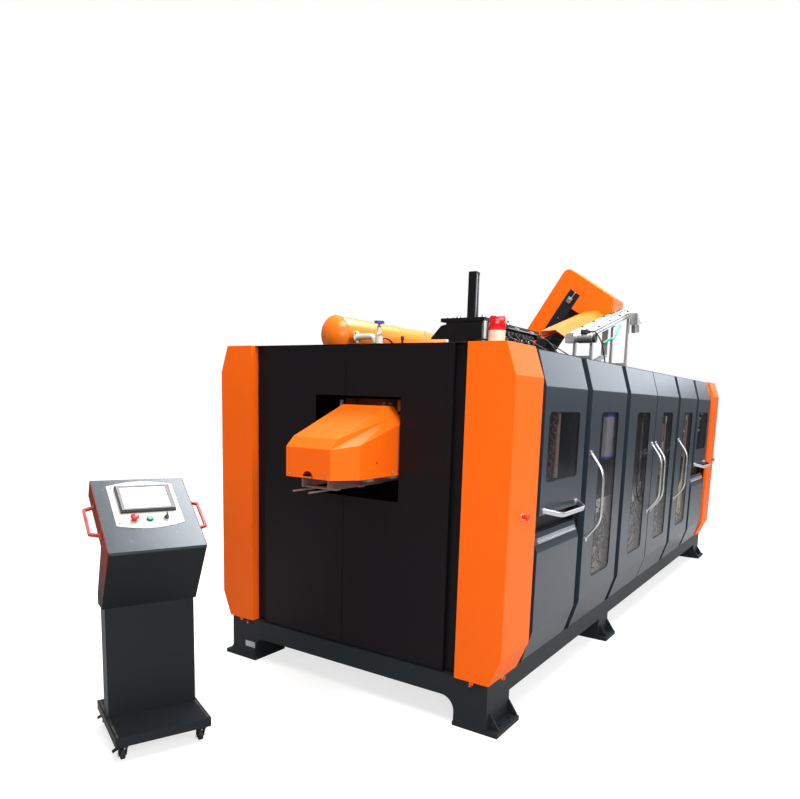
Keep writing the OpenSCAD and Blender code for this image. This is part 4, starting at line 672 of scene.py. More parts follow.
# Signal lamp: cream base with a step, ribbed red lens, screws round the foot
lamp = {"x": 224, "y": -833, "lensZ": 2174, "footZ": 2099.5, "screwZ": 2112, "screwR": 44.8,
        "ribs": 36, "ribDeep": 0.016}
ribs = lathe([(44, 0), (45.7, 3), (45.7, 58), (44, 67), (39.5, 73.5), (33, 77.5), (20, 80), (0, 81)], 144,
             lambda turn: 1 - lamp["ribDeep"] * (0.5 + 0.5 * np.cos(lamp["ribs"] * turn)))
makePiece("lampLens", redLens, placed(ribs, (lamp["x"], lamp["y"], lamp["lensZ"])), instead="lamp_lens")
foot = lathe([(44.6, 0), (44.6, 66), (45.2, 66.5), (45.6, 70), (45.6, 74.5), (44, 74.8)], 64)
makePiece("lampFoot", creamPlastic, placed(foot, (lamp["x"], lamp["y"], lamp["footZ"])), instead="lamp_base")
makePiece("lampScrews", screwZinc, *[
    placed(capScrew(3.2, 2.2), (lamp["x"] + lamp["screwR"] * c, lamp["y"] + lamp["screwR"] * s, lamp["screwZ"]),
           (-s, c, 0), (0, 0, 1), (c, s, 0)) for c, s in ((-1, 0), (0, -1), (1, 0), (0, 1))])


# Air tank: weld beads, flange bolts and seal, parts of the valve's bonnet, fittings on the roof
tank = {"beads": (811, 2205, 1508), "y": 777, "z": 2250, "beadR": 130.2, "bead": 2.6,
        "valve": (860, 415), "bonnetR": 21.5, "flange": (860, 2229), "flangeR": 33.5}


def beadRing(x, r, thick, n=72):
    # weld bead round the tank's X axis, its height rippled like laid metal
    turn = np.linspace(0, 2 * math.pi, n, endpoint=False)
    path = np.stack([np.full(n, x), tank["y"] + r * np.cos(turn), tank["z"] + r * np.sin(turn)], -1)
    return carried(path, circleLine(thick, 7), (1, 0, 0), loop=True, size=1 + 0.16 * np.cos(turn * 36))


makePiece("tankBeads", tankEnamel, *[beadRing(x, tank["beadR"], tank["bead"]) for x in tank["beads"]])
flangeX, flangeZ = tank["flange"]
reach = tank["flangeR"]
quarters = [math.pi / 4 + k * math.pi / 2 for k in range(4)]
makePiece("flangeBolts", brownSteel, *[
    placed(hexBolt(6.2, 6.2), (flangeX + reach * math.cos(a), y, flangeZ + reach * math.sin(a)), **way)
    for a in quarters for y, way in ((609.1, toDoors), (632.9, {"y": (0, 0, -1), "z": (0, 1, 0)}))])
seal = lathe([(38.5, -0.8), (42.8, -0.8), (42.8, 0.8), (38.5, 0.8), (38.5, -0.8)], 48)
makePiece("flangeSeal", blackRubber, at(toDoors, seal, (flangeX, 621, flangeZ)))
makePiece("valveCollars", screwZinc, *[
    placed(lathe([(16.5, 0), (24, 0), (24, h), (22.5, h + 1.5), (16.5, h + 1.5)], 6), (*tank["valve"], z))
    for z, h in ((2124, 14), (2166, 12), (2242, 13))])
packing = lathe([(9.2, 0), (15, 0), (15, 12), (14, 13.5), (9.2, 13.5), (9.2, 0)], 6)
makePiece("packingNut", brownSteel, placed(packing, (*tank["valve"], 2289.5)))
makePiece("bonnetBolts", brownSteel, *[
    placed(hexBolt(5.2, 6), (tank["valve"][0] + tank["bonnetR"] * c, tank["valve"][1] + tank["bonnetR"] * s, z),
           y=(0, up, 0), z=(0, 0, up))
    for c in (0.71, -0.71) for s in (0.71, -0.71) for z, up in ((2229.8, 1), (2180.2, -1))])
makePiece("gaugeLine", blackHose,
          hose([(884, 415, 2200), (915, 405, 2222), (960, 385, 2205), (1000, 370, 2150), (1012, 365, 2098)], 6.5, 36),
          placed(lathe([(12, 0), (12, 8), (10, 12), (6.5, 13)], 6), (1012, 365, 2099.5)),
          placed(lathe([(9.5, 0), (9.5, 12), (6.6, 14)], 6), (874, 416.5, 2196), (0, 0.2, 0.98), z=(1, 0, 0.2)))
gland = lathe([(13, 0), (13, 10), (8.5, 13), (8.5, 112), (13.5, 116), (13.5, 136), (11.5, 140), (0, 140)], 24)
makePiece("roofGland", blackPlastic, placed(gland, (987, 300, 2099.5)))
rod = lathe([(12, 0), (12, 6), (4.2, 8), (4.2, 186), (3, 188), (0, 188)], 16)
makePiece("earthRod", screwZinc, placed(rod, (1130, 200, 2099.5)))
print("tank fitted")


# Station tower: nuts on the plates' studs, the mast's cap and rails, the bank's valves, lines to the roof
tower = {"studs": ((1130, -74, 2368), (1130, -272, 2368), (1530, -262, 2357)), "plateZ": 2368, "armZ": 2357,
         "mast": 1149, "bank": range(1448, 1945, 62), "bankY": -261}
washer = lathe([(8.5, 0), (19, 0), (19, 2.8), (8.5, 2.8), (8.5, 0)], 28)
nut = placed(lathe([(8.2, 0), (14.5, 0), (14.5, 11), (13.2, 12.5), (8.2, 12.5), (8.2, 0)], 6), (0, 0, 2.8))
makePiece("studNuts", screwZinc, at(upright, joined(washer, nut), *tower["studs"]))
makePiece("plateScrews", blackOxide, at(upright, capScrew(6.8, 7), *[
    (x, y, tower["plateZ"]) for x in (1150, 1200, 1330, 1355) for y in (-250, -20, 30)]))
makePiece("mastCap", blackPlastic, placed(slab(58.4, 58.4, 5, 4, 1.5), (tower["mast"], -174, 2672.5)))
makePiece("mastRails", machinedSteel, at(toDoors, slab(10, 290, 1, 4.5, 0.8), *[
    (tower["mast"] + s * 16, -202.9, 2515) for s in (-1, 1)]))
fitting = lathe([(7.8, 0), (7.8, 6), (6.2, 8), (6.2, 13), (4.8, 14), (4.8, 0)], 14)
for name, material, shape, out, z in (
        ("bankValves", blackPlastic, slab(50, 58, 4, 16, 2), -1, 2280),
        ("bankCoils", bezelPlastic, slab(34, 20, 3, 9, 1.5), 14.5, 2300),
        ("bankFittings", screwZinc, fitting, 14.5, 2264)):
    makePiece(name, material, at(toDoors, shape, *[(x, tower["bankY"] - out, z) for x in tower["bank"]]))
elbow = lathe([(9.3, 0), (14.2, 0), (15, 2), (15, 9), (13.8, 11), (9.3, 11), (9.3, 0)], 20)
makePiece("hoseElbows", screwZinc, at(toDoors, elbow, *[(x, -275.2, 2258) for x in (1490, 1620, 1750, 1880)]))
roofRuns = (
    [(2085, -190, 2315), (2130, -260, 2330), (2180, -420, 2230), (2240, -620, 2118), (2380, -740, 2106),
     (2600, -752, 2105)],
    [(2085, -230, 2305), (2110, -330, 2300), (2120, -480, 2160), (2200, -680, 2108), (2420, -765, 2105),
     (2640, -770, 2105)],
    [(1470, -275, 2262), (1480, -330, 2255), (1540, -460, 2180), (1650, -640, 2110), (1800, -730, 2105),
     (1990, -748, 2104)],
    [(1700, -276, 2262), (1715, -340, 2270), (1780, -480, 2190), (1900, -660, 2110), (2080, -735, 2105),
     (2330, -760, 2105)])
makePiece("roofLines", blackHose, *[hose(run, 4.8, 46, 8) for run in roofRuns])
makePiece("guideCars", machinedSteel, at(toDoors, slab(52, 22, 3, 10, 1), *[(x, -293.5, 2333) for x in (1620, 1890)]))
makePiece("armScrews", screwZinc, at(upright, capScrew(5.5, 5.5), *[
    (x, y, tower["armZ"]) for x in range(1420, 2050, 78) for y in (-262, -90)]))
print("station tower fitted")


# Elevator: flat near-black channel plates over the belt, painted shade for the deep slot there; tensioner; the head's
# slots as thin dark strips, painted shade; rivets
elevator = {"lean": 56.5, "y": -44, "z": 3073, "faces": (3190, 3490), "plates": (3190.6, 3487.4), "plateT": 2}
headSin, headCos = math.sin(math.radians(elevator["lean"])), math.cos(math.radians(elevator["lean"]))
nearFace = {"x": (0, -headSin, -headCos), "y": (0, -headCos, headSin), "z": (-1, 0, 0)}
farFace = {"x": (0, headSin, headCos), "y": (0, -headCos, headSin), "z": (1, 0, 0)}


def leanAt(r, q, x):  # along the head and down the lean, on the plane x
    return (x, elevator["y"] - r * headSin + q * headCos, elevator["z"] - r * headCos - q * headSin)


def slideTo(r, z, x):
    _, y, top = leanAt(r, 143, x)
    return (x, y + (top - z) * headCos / headSin, z)


# painted shade: a flat near-black plate just inside each face stands for the deep, shaded slot over the belt
makePiece("slotShadePlates", standPaint, *[
    plate([leanAt(151, 144, x), leanAt(262, 144, x), slideTo(262, 2114, x), slideTo(151, 2114, x)],
          (elevator["plateT"], 0, 0)) for x in elevator["plates"]])
x = elevator["plates"][0]
makePiece("tensioner", machinedSteel, at(nearFace, slab(46, 58, 4, 9, 2), leanAt(203, 232, x)),
          at(nearFace, slab(16, 40, 5, 12, 2), leanAt(203, 232, x)),
          at(nearFace, hexBolt(8, 8), leanAt(203, 222, 3182)))
makePiece("tensionScrew", screwZinc, at(nearFace, slab(12, 60, 4, 7, 2), leanAt(213, 172, x)),
          at(nearFace, capScrew(6, 5), leanAt(205, 420, x)))
# painted shade: the head's two slots are thin dark strips lying on the plate, not openings
makePiece("headSlotShade", redOxide, at(nearFace, slab(3, 86, 1.4, 0.5, 0.2), leanAt(221, 96, 3190)),
          at(nearFace, slab(3, 118, 1.4, 0.5, 0.2), leanAt(283, 76, 3190)))
rivets = [(r, 22) for r in range(60, 540, 95)] + [(22, q) for q in range(120, 1050, 155)]
rivets += [(128, q) for q in range(210, 1050, 155)]
makePiece("headRivets", orangePaint, *[at(face, capScrew(4.2, 2.2), *[leanAt(r, q, x) for r, q in rivets])
                                       for x, face in zip(elevator["faces"], (nearFace, farFace))])
print("elevator fitted")


# Unscrambler: T-slots of the rails as thin dark strips, painted shade; clips, motor fins, screws, lines and the guard
# at the high end
feedRail = {"rise": 15.3, "zero": (2253, -560, 2345), "motor": (2213, 2320), "high": 1140}
turn = math.radians(feedRail["rise"])
feedX, feedZ = np.array((math.cos(turn), 0, math.sin(turn))), np.array((-math.sin(turn), 0, math.cos(turn)))
feedWay = {"x": feedX, "z": feedZ}
sideOut = {-1: {"x": feedX, "y": feedZ, "z": (0, -1, 0)}, 1: {"x": -feedX, "y": feedZ, "z": (0, 1, 0)}}


def onFeed(x, y, z):
    return feedRail["zero"] + x * feedX + (0, y, 0) + z * feedZ


def bothRails(shape, y, xs, zs):  # the shape on the outer face of both rails
    return [at(sideOut[s], shape, *[onFeed(x, s * y, z) for x in xs for z in zs]) for s in (-1, 1)]


# painted shade: each T-slot is a thin dark strip lying on the rail's outer face
makePiece("railSlotShade", blackOxide, *bothRails(slab(1150, 6.2, 2.8, 0.6, 0.2), 81.8, (607.5,), (-14, 12)))
makePiece("railScrews", screwZinc, *bothRails(capScrew(4.8, 4.5), 82, (20, 300, 600, 900, 1190), (0,)))
makePiece("railClips", blackPlastic, at(feedWay, slab(18, 20, 3, 12, 2), *[
    onFeed(x, s * 70, 25.5) for s in (-1, 1) for x in (240, 520, 800, 1050)]))
motorX, motorZ = feedRail["motor"]
fin = lathe([(36, 0), (40.5, 0.5), (40.5, 2.8), (36, 3.3)], 32)
makePiece("motorFins", bezelPlastic, at(alongY, fin, *[(motorX, -672 + 9.5 * k, motorZ) for k in range(12)]))
makePiece("motorCap", blackPlastic,
          at(toDoors, lathe([(38.5, 0), (38.5, 14), (36, 18), (0, 18)], 32), (motorX, -683.5, motorZ)),
          placed(slab(70, 52, 5, 30, 3), (motorX, -610, 2354)),
          at(toDoors, slab(22, 22, 4, 12, 2), (motorX, -636, 2369)))
bolt = hexBolt(5.5, 5)
makePiece("gearboxScrews", screwZinc, at(upright, bolt, *[(x, y, 2357) for x in (2188, 2238) for y in (-518, -472)]),
          at(toDischarge, bolt, *[(2178, y, z) for z in (2295, 2345) for y in (-518, -472)]))
makePiece("motorLead", blackHose, hose([
    (motorX, -648, 2369), (2216, -690, 2366), (2250, -735, 2290), (2300, -750, 2180), (2330, -752, 2104)], 5.2))
makePiece("greenLine", greenHose, hose([onFeed(*p) for p in (
    (300, -85, -120), (360, -115, -100), (460, -120, -105), (600, -112, -60), (720, -100, -45))], 11, 40, 12))
high = feedRail["high"]
makePiece("pulleyGuard", clearHose, at(sideOut[-1], slab(118, 112, 12, 4, 1), onFeed(high, -144.5, -44)),
          at(feedWay, slab(118, 78, 8, 4, 1), onFeed(high, -105.5, 8.5)))
makePiece("guardScrews", screwZinc, at(sideOut[-1], capScrew(5, 5), *[
    onFeed(high + a * 46, -148.5, -44 + b * 44) for a in (-1, 1) for b in (-1, 1)]))
band = lathe([(34, 0), (36.2, 0.5), (36.2, 3), (34, 3.5)], 28)
makePiece("feedMotorBands", bezelPlastic, at(feedWay, band, *[onFeed(high, -110, -168 + 9 * k) for k in range(7)]))
print("unscrambler fitted")


# Operator station: everything is placed by its spot on the desk's face or over the floor.
station = {"zero": (-1320.8, 318.4, 0), "turn": -22.99, "width": 459, "deskV": 20, "deskZ": 1047, "tilt": 32.35,
           "controls": 213, "spots": {"stop": 156, "start": 229, "key": 309}, "screen": (235, 365),
           "trail": 18, "casters": ((40, 45), (419, 45), (40, 455), (419, 455)), "rearV": 360}
s = station
turn, tilt = math.radians(s["turn"]), math.radians(s["tilt"])
uWay = np.array((math.cos(turn), math.sin(turn), 0))
vWay = np.array((-math.sin(turn), math.cos(turn), 0))
zWay = np.array((0, 0, 1.0))
tWay = vWay * math.cos(tilt) + zWay * math.sin(tilt)
hWay = zWay * math.cos(tilt) - vWay * math.sin(tilt)
deskFace = {"x": uWay, "y": tWay, "z": hWay}
rear = {"x": -uWay, "y": zWay, "z": vWay}


def onStation(u, v, z):
    return station["zero"] + u * uWay + v * vWay + z * zWay


deskZero = onStation(0, s["deskV"], s["deskZ"])


def onDesk(u, t, h=0.0):
    return deskZero + u * uWay + t * tWay + h * hWay


def deskPlace(x, y, z):
    p = np.stack([x, y, z], -1) - deskZero
    return p @ uWay, p @ tWay, p @ hWay


def headPaint(x, y, z):  # 0 the desk and its lip, 1 the head's body, 2 the faceplate
    _, t, h = deskPlace(x, y, z)
    return np.where((h > 0.4) & (t > 100), 2, np.where(h > -17.5, 0, 1))


def sidesPaint(x, y, z):  # 0 the side covers, 1 the bar handles
    u = deskPlace(x, y, z)[0]
    return (u < -0.4) | (u > station["width"] + 0.4)


def panelPaint(x, y, z):  # 0 the bezel's face, 1 its flanks
    return deskPlace(x, y, z)[2] <= 21.2


softened("console_head", [deskPaint, standPaint, facePaint], 3, 1.2, 8, headPaint)
softened("console_sides", [sideShadedPaint, gripPaint], 4, 0.8, 20, sidesPaint)
softened("touch_panel", [bezelPaint, blackPlastic], 1.5, 1.2, 20, panelPaint)
u, t = s["screen"]
makePiece("screen", litScreen, at(deskFace, slab(221.5, 161.5, 2, 1.2, 0.3), onDesk(u, t, 17)))
tiles = ((-80, 6, 46, 118), (28, 64, 150, 16), (-12, 6, 66, 80), (64, 6, 66, 80))
makePiece("screenTiles", screenTone, *[
    at(deskFace, slab(w, h, 1, 0.3, 0.1), onDesk(u + x, t + y, 18.15)) for x, y, w, h in tiles])

control = {name: onDesk(u, s["controls"]) for name, u in s["spots"].items()}
head = lathe([(10.8, -26), (10.8, 14), (14.2, 15.8), (19.2, 20.5), (20.3, 24), (20, 28.5), (17.2, 33), (11.5, 35.5),
              (0, 36.2)], 48)
makePiece("stopHead", redPlastic, at(deskFace, head, control["stop"]), instead="console_stop")
cap = lathe([(10.8, -26), (10.8, 8), (13, 8.6), (13, 12.4), (12.2, 13.7), (0, 14)], 48)
makePiece("startCap", greenPlastic, at(deskFace, cap, control["start"]), instead="start_button")
barrel = lathe([(10.8, -26), (10.8, 9.5), (13, 9.8), (13, 16), (11.8, 17), (0, 17)], 48)
bow = plate([(*p, -2) for p in roundRect(18, 19, 7.5, 6)], (0, 0, 4))
makePiece("keyBarrel", blackPlastic, at(deskFace, barrel, control["key"]),
          at(deskFace, slab(4, 12, 1.2, 9, 0.4), control["key"] + 16.5 * hWay),
          placed(bow, control["key"] + 32.5 * hWay, x=tWay, y=hWay, z=uWay), instead="key_switch")
for name, material, inner, outer, high in (("stop", screwZinc, 11.4, 17.8, 7), ("start", bezelPlastic, 13.5, 17.2, 8),
                                           ("key", screwZinc, 13.5, 17.8, 8.5)):
    ring = lathe([(inner, 0), (outer, 0), (outer, high * 0.55), (outer - 1.2, high), (inner, high), (inner, 0)], 44)
    makePiece(name + "Ring", material, at(deskFace, ring, control[name] + 2 * hWay))
makePiece("faceScrews", bezelPlastic, at(deskFace, capScrew(3.6, 1.8), *[onDesk(u, t, 2) for u in (86, 376)
                                                                         for t in (196, 464)]))
makePiece("gripFeet", gripPaint, *[placed(slab(30, 26, 4, 2.5, 1), onDesk(u, t, -50), x=tWay, y=hWay, z=side * uWay)
                                   for u, side in ((0, -1), (s["width"], 1)) for t in (170, 385)])

# Casters: tyre and hub on the CAD axle, axle nuts
tyre = lathe([(17, -10), (22.5, -10.5), (24.2, -9.5), (25, -6.5), (25, 6.5), (24.2, 9.5), (22.5, 10.5), (17, 10),
              (17, -10)], 48)
hub = lathe([(4.6, -11.2), (9, -11.2), (10, -7), (16, -7), (17.2, -10.2), (17.2, 10.2), (16, 7), (10, 7), (9, 11.2),
             (4.6, 11.2), (4.6, -11.2)], 40)
axle = {"x": vWay, "y": zWay, "z": uWay}
for n, (u, v) in enumerate(s["casters"], 1):
    centre = onStation(u, v + s["trail"], 25)
    makePiece("tyre_%d" % n, blackRubber, at(axle, tyre, centre), instead="wheel_%d" % n)
    makePiece("hub_%d" % n, bezelPlastic, at(axle, hub, centre), on="wheel_%d" % n)
    makePiece("axleNut_%d" % n, screwZinc, *[
        placed(hexBolt(5.8, 4.2), centre + side * 19 * uWay, x=side * vWay, y=zWay, z=side * uWay)
        for side in (-1, 1)], on="caster_%d" % n)
# Tread strips of the base plate, and the column's rear door with its locks and vents
makePiece("baseStrips", blackRubber, at({"x": uWay, "y": vWay}, slab(10, 470, 4, 0.6, 0.3), *[
    onStation(u, 250, 137.9) for u in (12, 447)]))
makePiece("rearDoor", standPaint, at(rear, slab(400, 560, 6, 2, 0.8), onStation(229.5, s["rearV"], 460)))
lock = lathe([(11, 0), (11, 4), (9, 6), (4, 6), (4, 3), (0, 3)], 28)
makePiece("rearLocks", screwZinc, at(rear, lock, *[onStation(75, s["rearV"] + 1.8, z) for z in (330, 590)]))
makePiece("rearVents", standPaint, at(rear, slab(120, 6, 2.8, 3, 1), *[
    onStation(229.5, s["rearV"] + 2, 620 + 14 * k) for k in range(6)]))
print("operator station fitted")


# Discharge end: fixing tabs, bare plate on the leg, hem and screws of the hood
discharge = {"tabs": (833, -882), "leg": (820, 108), "hoodScrewZ": 1388}
tab = slab(22, 20, 3, 3, 0.8)
makePiece("coverTabs", gripPaint, at(toDischarge, tab, *[(6, y, 265) for y in discharge["tabs"]]),
          at(toDoors, tab, *[(x, -1058.5, 334) for x in (60, 5700)]))
makePiece("tabScrews", screwZinc, at(toDischarge, capScrew(4, 3.5), *[(3, y, 261) for y in discharge["tabs"]]))
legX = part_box("base_frame")[0][0] * 1000 + halfLen
legY, legZ = discharge["leg"]
makePiece("legPlate", brushedPlate, at(toDischarge, slab(90, 40, 3, 1.2, 0.4), (legX - 0.1, legY, legZ)))
makePiece("legRivets", screwZinc, at(toDischarge, capScrew(2.2, 1.2), *[
    (legX - 1.3, legY + a, legZ + b) for a in (-40, 40) for b in (-15, 15)]))
makePiece("hoodHem", orangePaint, box(-447, -443, -256, 46, 1369, 1376), box(-300, 25, -348.8, -344, 1368, 1374))
screw = capScrew(4.8, 3)
makePiece("hoodScrews", screwZinc, at(toDischarge, screw, *[(-452, y, discharge["hoodScrewZ"]) for y in (-225, 20)]),
          at(toDoors, screw, *[(x, -349.2, discharge["hoodScrewZ"]) for x in (-210, -20)]))

# Behind the discharge window: painted cross beam and post, filters, manifold, rails, elbow and lines
makePiece("innerBeam", redOxide, box(340, 420, -170, 290, 1690, 1792), box(340, 420, 205, 262, 1300, 1735))
makePiece("innerBox", amberPlastic, box(250, 330, -252, -182, 1722, 1790))
makePiece("innerElbow", silverBar,
          hose([(230, -330, 1660), (228, -332, 1720), (235, -318, 1760), (270, -290, 1772)], 13.5, 24, 14),
          placed(lathe([(13.5, 0), (21, 0), (21, 14), (13.5, 14)], 6), (229, -330, 1680)))
can = lathe([(19, 0), (21, 4), (21, 52), (15, 60), (15, 72), (0, 74)], 28)
makePiece("innerFilters", brownSteel, at(upright, can, *[(300, y, 1700) for y in (-50, -98)]))
outlet = lathe([(9, 0), (9, 12), (6, 14), (6, 24), (0, 24)], 6)
makePiece("innerManifold", machinedSteel, box(270, 330, -350, -30, 1672, 1700),
          at(upright, outlet, *[(300, y, 1700) for y in (-140, -275, -310, 180)]))
makePiece("innerRail", brushedPlate, *[box(150, 170, y, y + 16, 1250, 1780) for y in (165, -345)],
          box(150, 170, -345, 181, 1560, 1575))
makePiece("innerLines", blackHose, *[
    hose([(260, y, 1780 - 20 * k), (300, y - 20, 1700), (360, y + 30, 1600), (330, y + 10, 1480), (420, y, 1360)],
         7, 40, 8) for k, y in enumerate((150, 105, -120, -300))])

# Through the door windows: cream board, pale column with a blue top, trunking, hose bundles, clamps.
# Each bay shows a different part of the works, as far in as the light of the window reaches.
bayWorks = {
    "walls": ((1250, 1960), (2140, 2830), (2930, 3640)), "column": (1610, -880),
    "trunks": ((2420, 1800), (3200, 1800), (4060, 630), (820, 1780)),
    "fittings": ((1560, 1000, 60, 35), (1640, 985, 90, 22), (2440, 985, 50, 30), (2480, 1010, 70, 18),
                 (3250, 1490, 40, 50), (4120, 1680, 60, 50), (4300, 1540, 70, 26), (4940, 1700, 60, 40),
                 (5020, 1500, 80, 30)),
    "bundles": ((1612, 640, 1020, 7), (2495, 640, 1000, 8), (3305, 640, 1050, 7), (4187, 640, 900, 3),
                (747, 1365, 1600, 4), (4972, 1365, 1560, 4)),
    "leads": (1672, 1686, 2405, 2605, 3345, 3245, 4277, 577, 597),
    "cylinders": ((700, 1330), (2590, 1280), (3390, 1290), (4870, 1340), (5030, 1340)),
    "plates": ((560, 640, 1300, 1780), (2330, 2400, 1100, 1780), (3140, 3190, 1050, 1780),
               (3420, 3480, 1050, 1780)),
}
w = bayWorks
makePiece("bayWalls", bayPaint, *[box(a, b, -887, -884, 500, 1120) for a, b in w["walls"]])
makePiece("creamBoard", creamBoard, box(4020, 4380, -905, -900, 640, 1290), box(4200, 4300, -912, -906, 1290, 1480))
column = lathe([(78, 0), (80, 4), (80, 640), (74, 650), (74, 655)], 44)
makePiece("paleColumn", creamPlastic, placed(column, (*w["column"], 1060)))
makePiece("columnTop", bluePlastic, placed(lathe([(82, 0), (82, 50), (70, 66), (0, 70)], 44), (*w["column"], 1712)),
          placed(lathe([(84, 0), (84, 30), (0, 30)], 44), (*w["column"], 1030)))
makePiece("trunking", deskPaint, *[box(x, x + 60, -930, -900, 560, z) for x, z in w["trunks"]])
makePiece("paleFittings", creamPlastic, *[box(x, x + a, -962, -950, z, z + h) for x, z, a, h in w["fittings"]])
rng = np.random.default_rng(7)
bundle = []
for mid, low, high, count in w["bundles"]:
    for _ in range(count):
        x = mid + rng.uniform(-150, 150, 5) * np.array((1.0, 0.9, 0.8, 0.9, 1.0))
        y = rng.uniform(-990, -930, 5)
        z = np.linspace(high + rng.uniform(0, 120), low, 5) + rng.uniform(-40, 40, 5)
        bundle.append(hose(np.stack([x, y, z], -1), rng.uniform(4, 8), 30, 7))
makePiece("bayHoses", blackHose, *bundle)
makePiece("bayLeads", blackHose, *[
    hose([(x, -955, 1750), (x + 12, -965, 1450), (x - 18, -960, 1200), (x + 26, -970, 980)], 5.5, 34, 7)
    for x in w["leads"]])
cylinder = lathe([(20, 0), (24, 4), (24, 300), (20, 304), (8, 306), (8, 420), (0, 420)], 24)
makePiece("bayCylinders", brushedPlate, at(upright, cylinder, *[(x, -900, z) for x, z in w["cylinders"]]))
makePiece("bayPlates", brushedPlate, *[box(a, b, -875, -865, z0, z1) for a, b, z0, z1 in w["plates"]])
print("bays fitted")

# Behind each pane, on the door itself: a lining sheet, clipped hoses and the fittings that show
# from the front. A bay gives the window's near edge, the door's far edge, the lining's top and
# its number of hoses.
linings = {"low": 560, "bays": {2: (1417.5, 1980, 1130, 8), 3: (2300, 2870, 1120, 9), 4: (3110, 3680, 960, 6),
                                5: (3992.5, 4555, 700, 2)}}
rng = np.random.default_rng(11)
low = linings["low"]
for n, (near, edge, high, count) in linings["bays"].items():
    makePiece("lining_%d" % n, bayPaint, box(near - 8, edge - 14, -990, -987.5, low, high), on="door_%d" % n)
    loops = []
    for _ in range(count):
        x = near + 90 + (edge - near - 170) * rng.uniform(0, 1, 6)
        z = np.linspace(high + rng.uniform(-120, 60), low + rng.uniform(50, 200), 6) + rng.uniform(-50, 50, 6)
        loops.append(hose(np.stack([x, rng.uniform(-1014, -1000, 6), z], -1), rng.uniform(3.5, 5.5), 40, 7))
    makePiece("doorHoses_%d" % n, blackHose, *loops, on="door_%d" % n)
duct = {"x": 1775, "y": -984, "w": 215, "z0": 1425, "z1": 1752}
x, y, w, z0, z1 = duct.values()
makePiece("duct", ductPaint, at(toDoors, slab(w, z1 - z0, 12, 34, 12, 5), (x, y, (z0 + z1) / 2)), on="door_2")
makePiece("ductTop", bluePlastic, at(toDoors, slab(w + 8, 40, 12, 37, 12, 5), (x, y, z1 - 18)),
          at(toDoors, slab(w + 8, 22, 8, 37, 10, 4), (x, y, z0)), on="door_2")
# painted shade: the duct's two slots are black strips standing on its face, not openings
makePiece("ductSlotShade", blackPlastic, *[at(toDoors, slab(14, h, 5, 2, 1), (x + 46, -1017.5, z))
                                      for z, h in ((1635, 50), (1535, 80))], on="door_2")
clips = {2: ((1560, 1060, 50, 30), (1655, 1052, 62, 24)), 3: ((2470, 1040, 58, 30),),
         4: ((3330, 1450, 20, 70), (3390, 1690, 26, 50)), 5: ((4250, 1700, 30, 40), (4170, 1560, 60, 20))}
for n, spots in clips.items():
    makePiece("paleClips_%d" % n, facePaint, *[
        at(toDoors, slab(w, h, 8, 10, 3, 3), (x, -1012, z)) for x, z, w, h in spots], on="door_%d" % n)
board = ((4230, 640), (4290, 640), (4300, 790), (4330, 800), (4345, 640), (4420, 640), (4440, 1120), (4405, 1340),
         (4370, 1340), (4340, 1060), (4250, 1000), (4240, 900))
makePiece("board", creamBoard, plate([(x, -1004, z) for x, z in board], (0, 4, 0)), on="door_5")
makePiece("flapPole", brownSteel, placed(pole(15.5, 392), (752, -1002, 1356)), on="door_1_flap")
twist = np.linspace(0, 15 * math.pi, 150)
down = twist / twist[-1]
coil = np.stack([700 + 14 * np.cos(twist) - 30 * down, -1004 + 10 * np.sin(twist), 1745 - 330 * down], -1)
makePiece("flapCoil", redOxide, carried(coil, circleLine(4.2, 7), (0.1, 0.9, 0.2)), on="door_1_flap")
makePiece("flapLead", blackHose, hose([(715, -1006, 1742), (728, -1010, 1700), (700, -1008, 1640), (690, -1006, 1560),
                                       (664, -1006, 1440), (668, -1002, 1370)], 6.2, 50, 8), on="door_1_flap")
makePiece("flapBar_6", tealPlastic, at(toDoors, slab(110, 90, 6, 10, 2), (5010, -992, 1640)), on="door_6_flap")
flapClips = ((4985, 1690, 30, 20), (5060, 1735, 50, 14), (4960, 1560, 24, 24))
makePiece("flapClips_6", facePaint, *[
    at(toDoors, slab(w, h, 6, 10, 2), (x, -1010, z)) for x, z, w, h in flapClips], on="door_6_flap")
rods = {3: ((2420, 1160, 580, 10), (2452, 1160, 580, 6)),
        4: ((3300, 1180, 560, 8), (3345, 1180, 470, 8), (3420, 1000, 700, 12)),
        5: ((4190, 1200, 540, 8), (4275, 1300, 440, 10), (4350, 1380, 360, 14))}
for n, spots in rods.items():
    makePiece("doorRods_%d" % n, brushedPlate if n == 3 else brownSteel,
              *[placed(pole(r, h), (x, -1004, z)) for x, z, h, r in spots], on="door_%d" % n)
print("door linings fitted")

# Back: fields of pressed louvres on every second panel, quarter-turn locks, strips behind the seams
back = {"edges": ((430, 1105), (1205, 1980), (2080, 2870), (2890, 3680), (3780, 4555), (4655, 5330)), "face": 1049.9,
        "louvre": (150, 12, 7.5), "columns": (-95, 95), "fields": (1550, 720), "rows": 11, "pitch": 24,
        "lockIn": 45, "lockZ": (1800, 1190, 580),
        "seams": ((2870.5, 2889.5, 985), (358, 429, 952), (5331, 5402, 952))}


# A pressed louvre: closed and rounded above, standing out to a lip below
def louvre(w, h, proud):
    x = np.linspace(-1, 1, 17)
    t = np.linspace(0, 1, 7)
    full = np.sqrt(np.clip(1 - x ** 6, 0, 1))[:, None]
    z = proud * full * np.sin(t * math.pi / 2)[None] ** 0.8
    top = np.stack([np.broadcast_to(x[:, None] * w / 2, z.shape), np.broadcast_to((0.5 - t) * h, z.shape), z], -1)
    under = top[:, ::-1].copy()
    under[..., 2] = 0
    return gridShape(np.concatenate([top, under], 1))


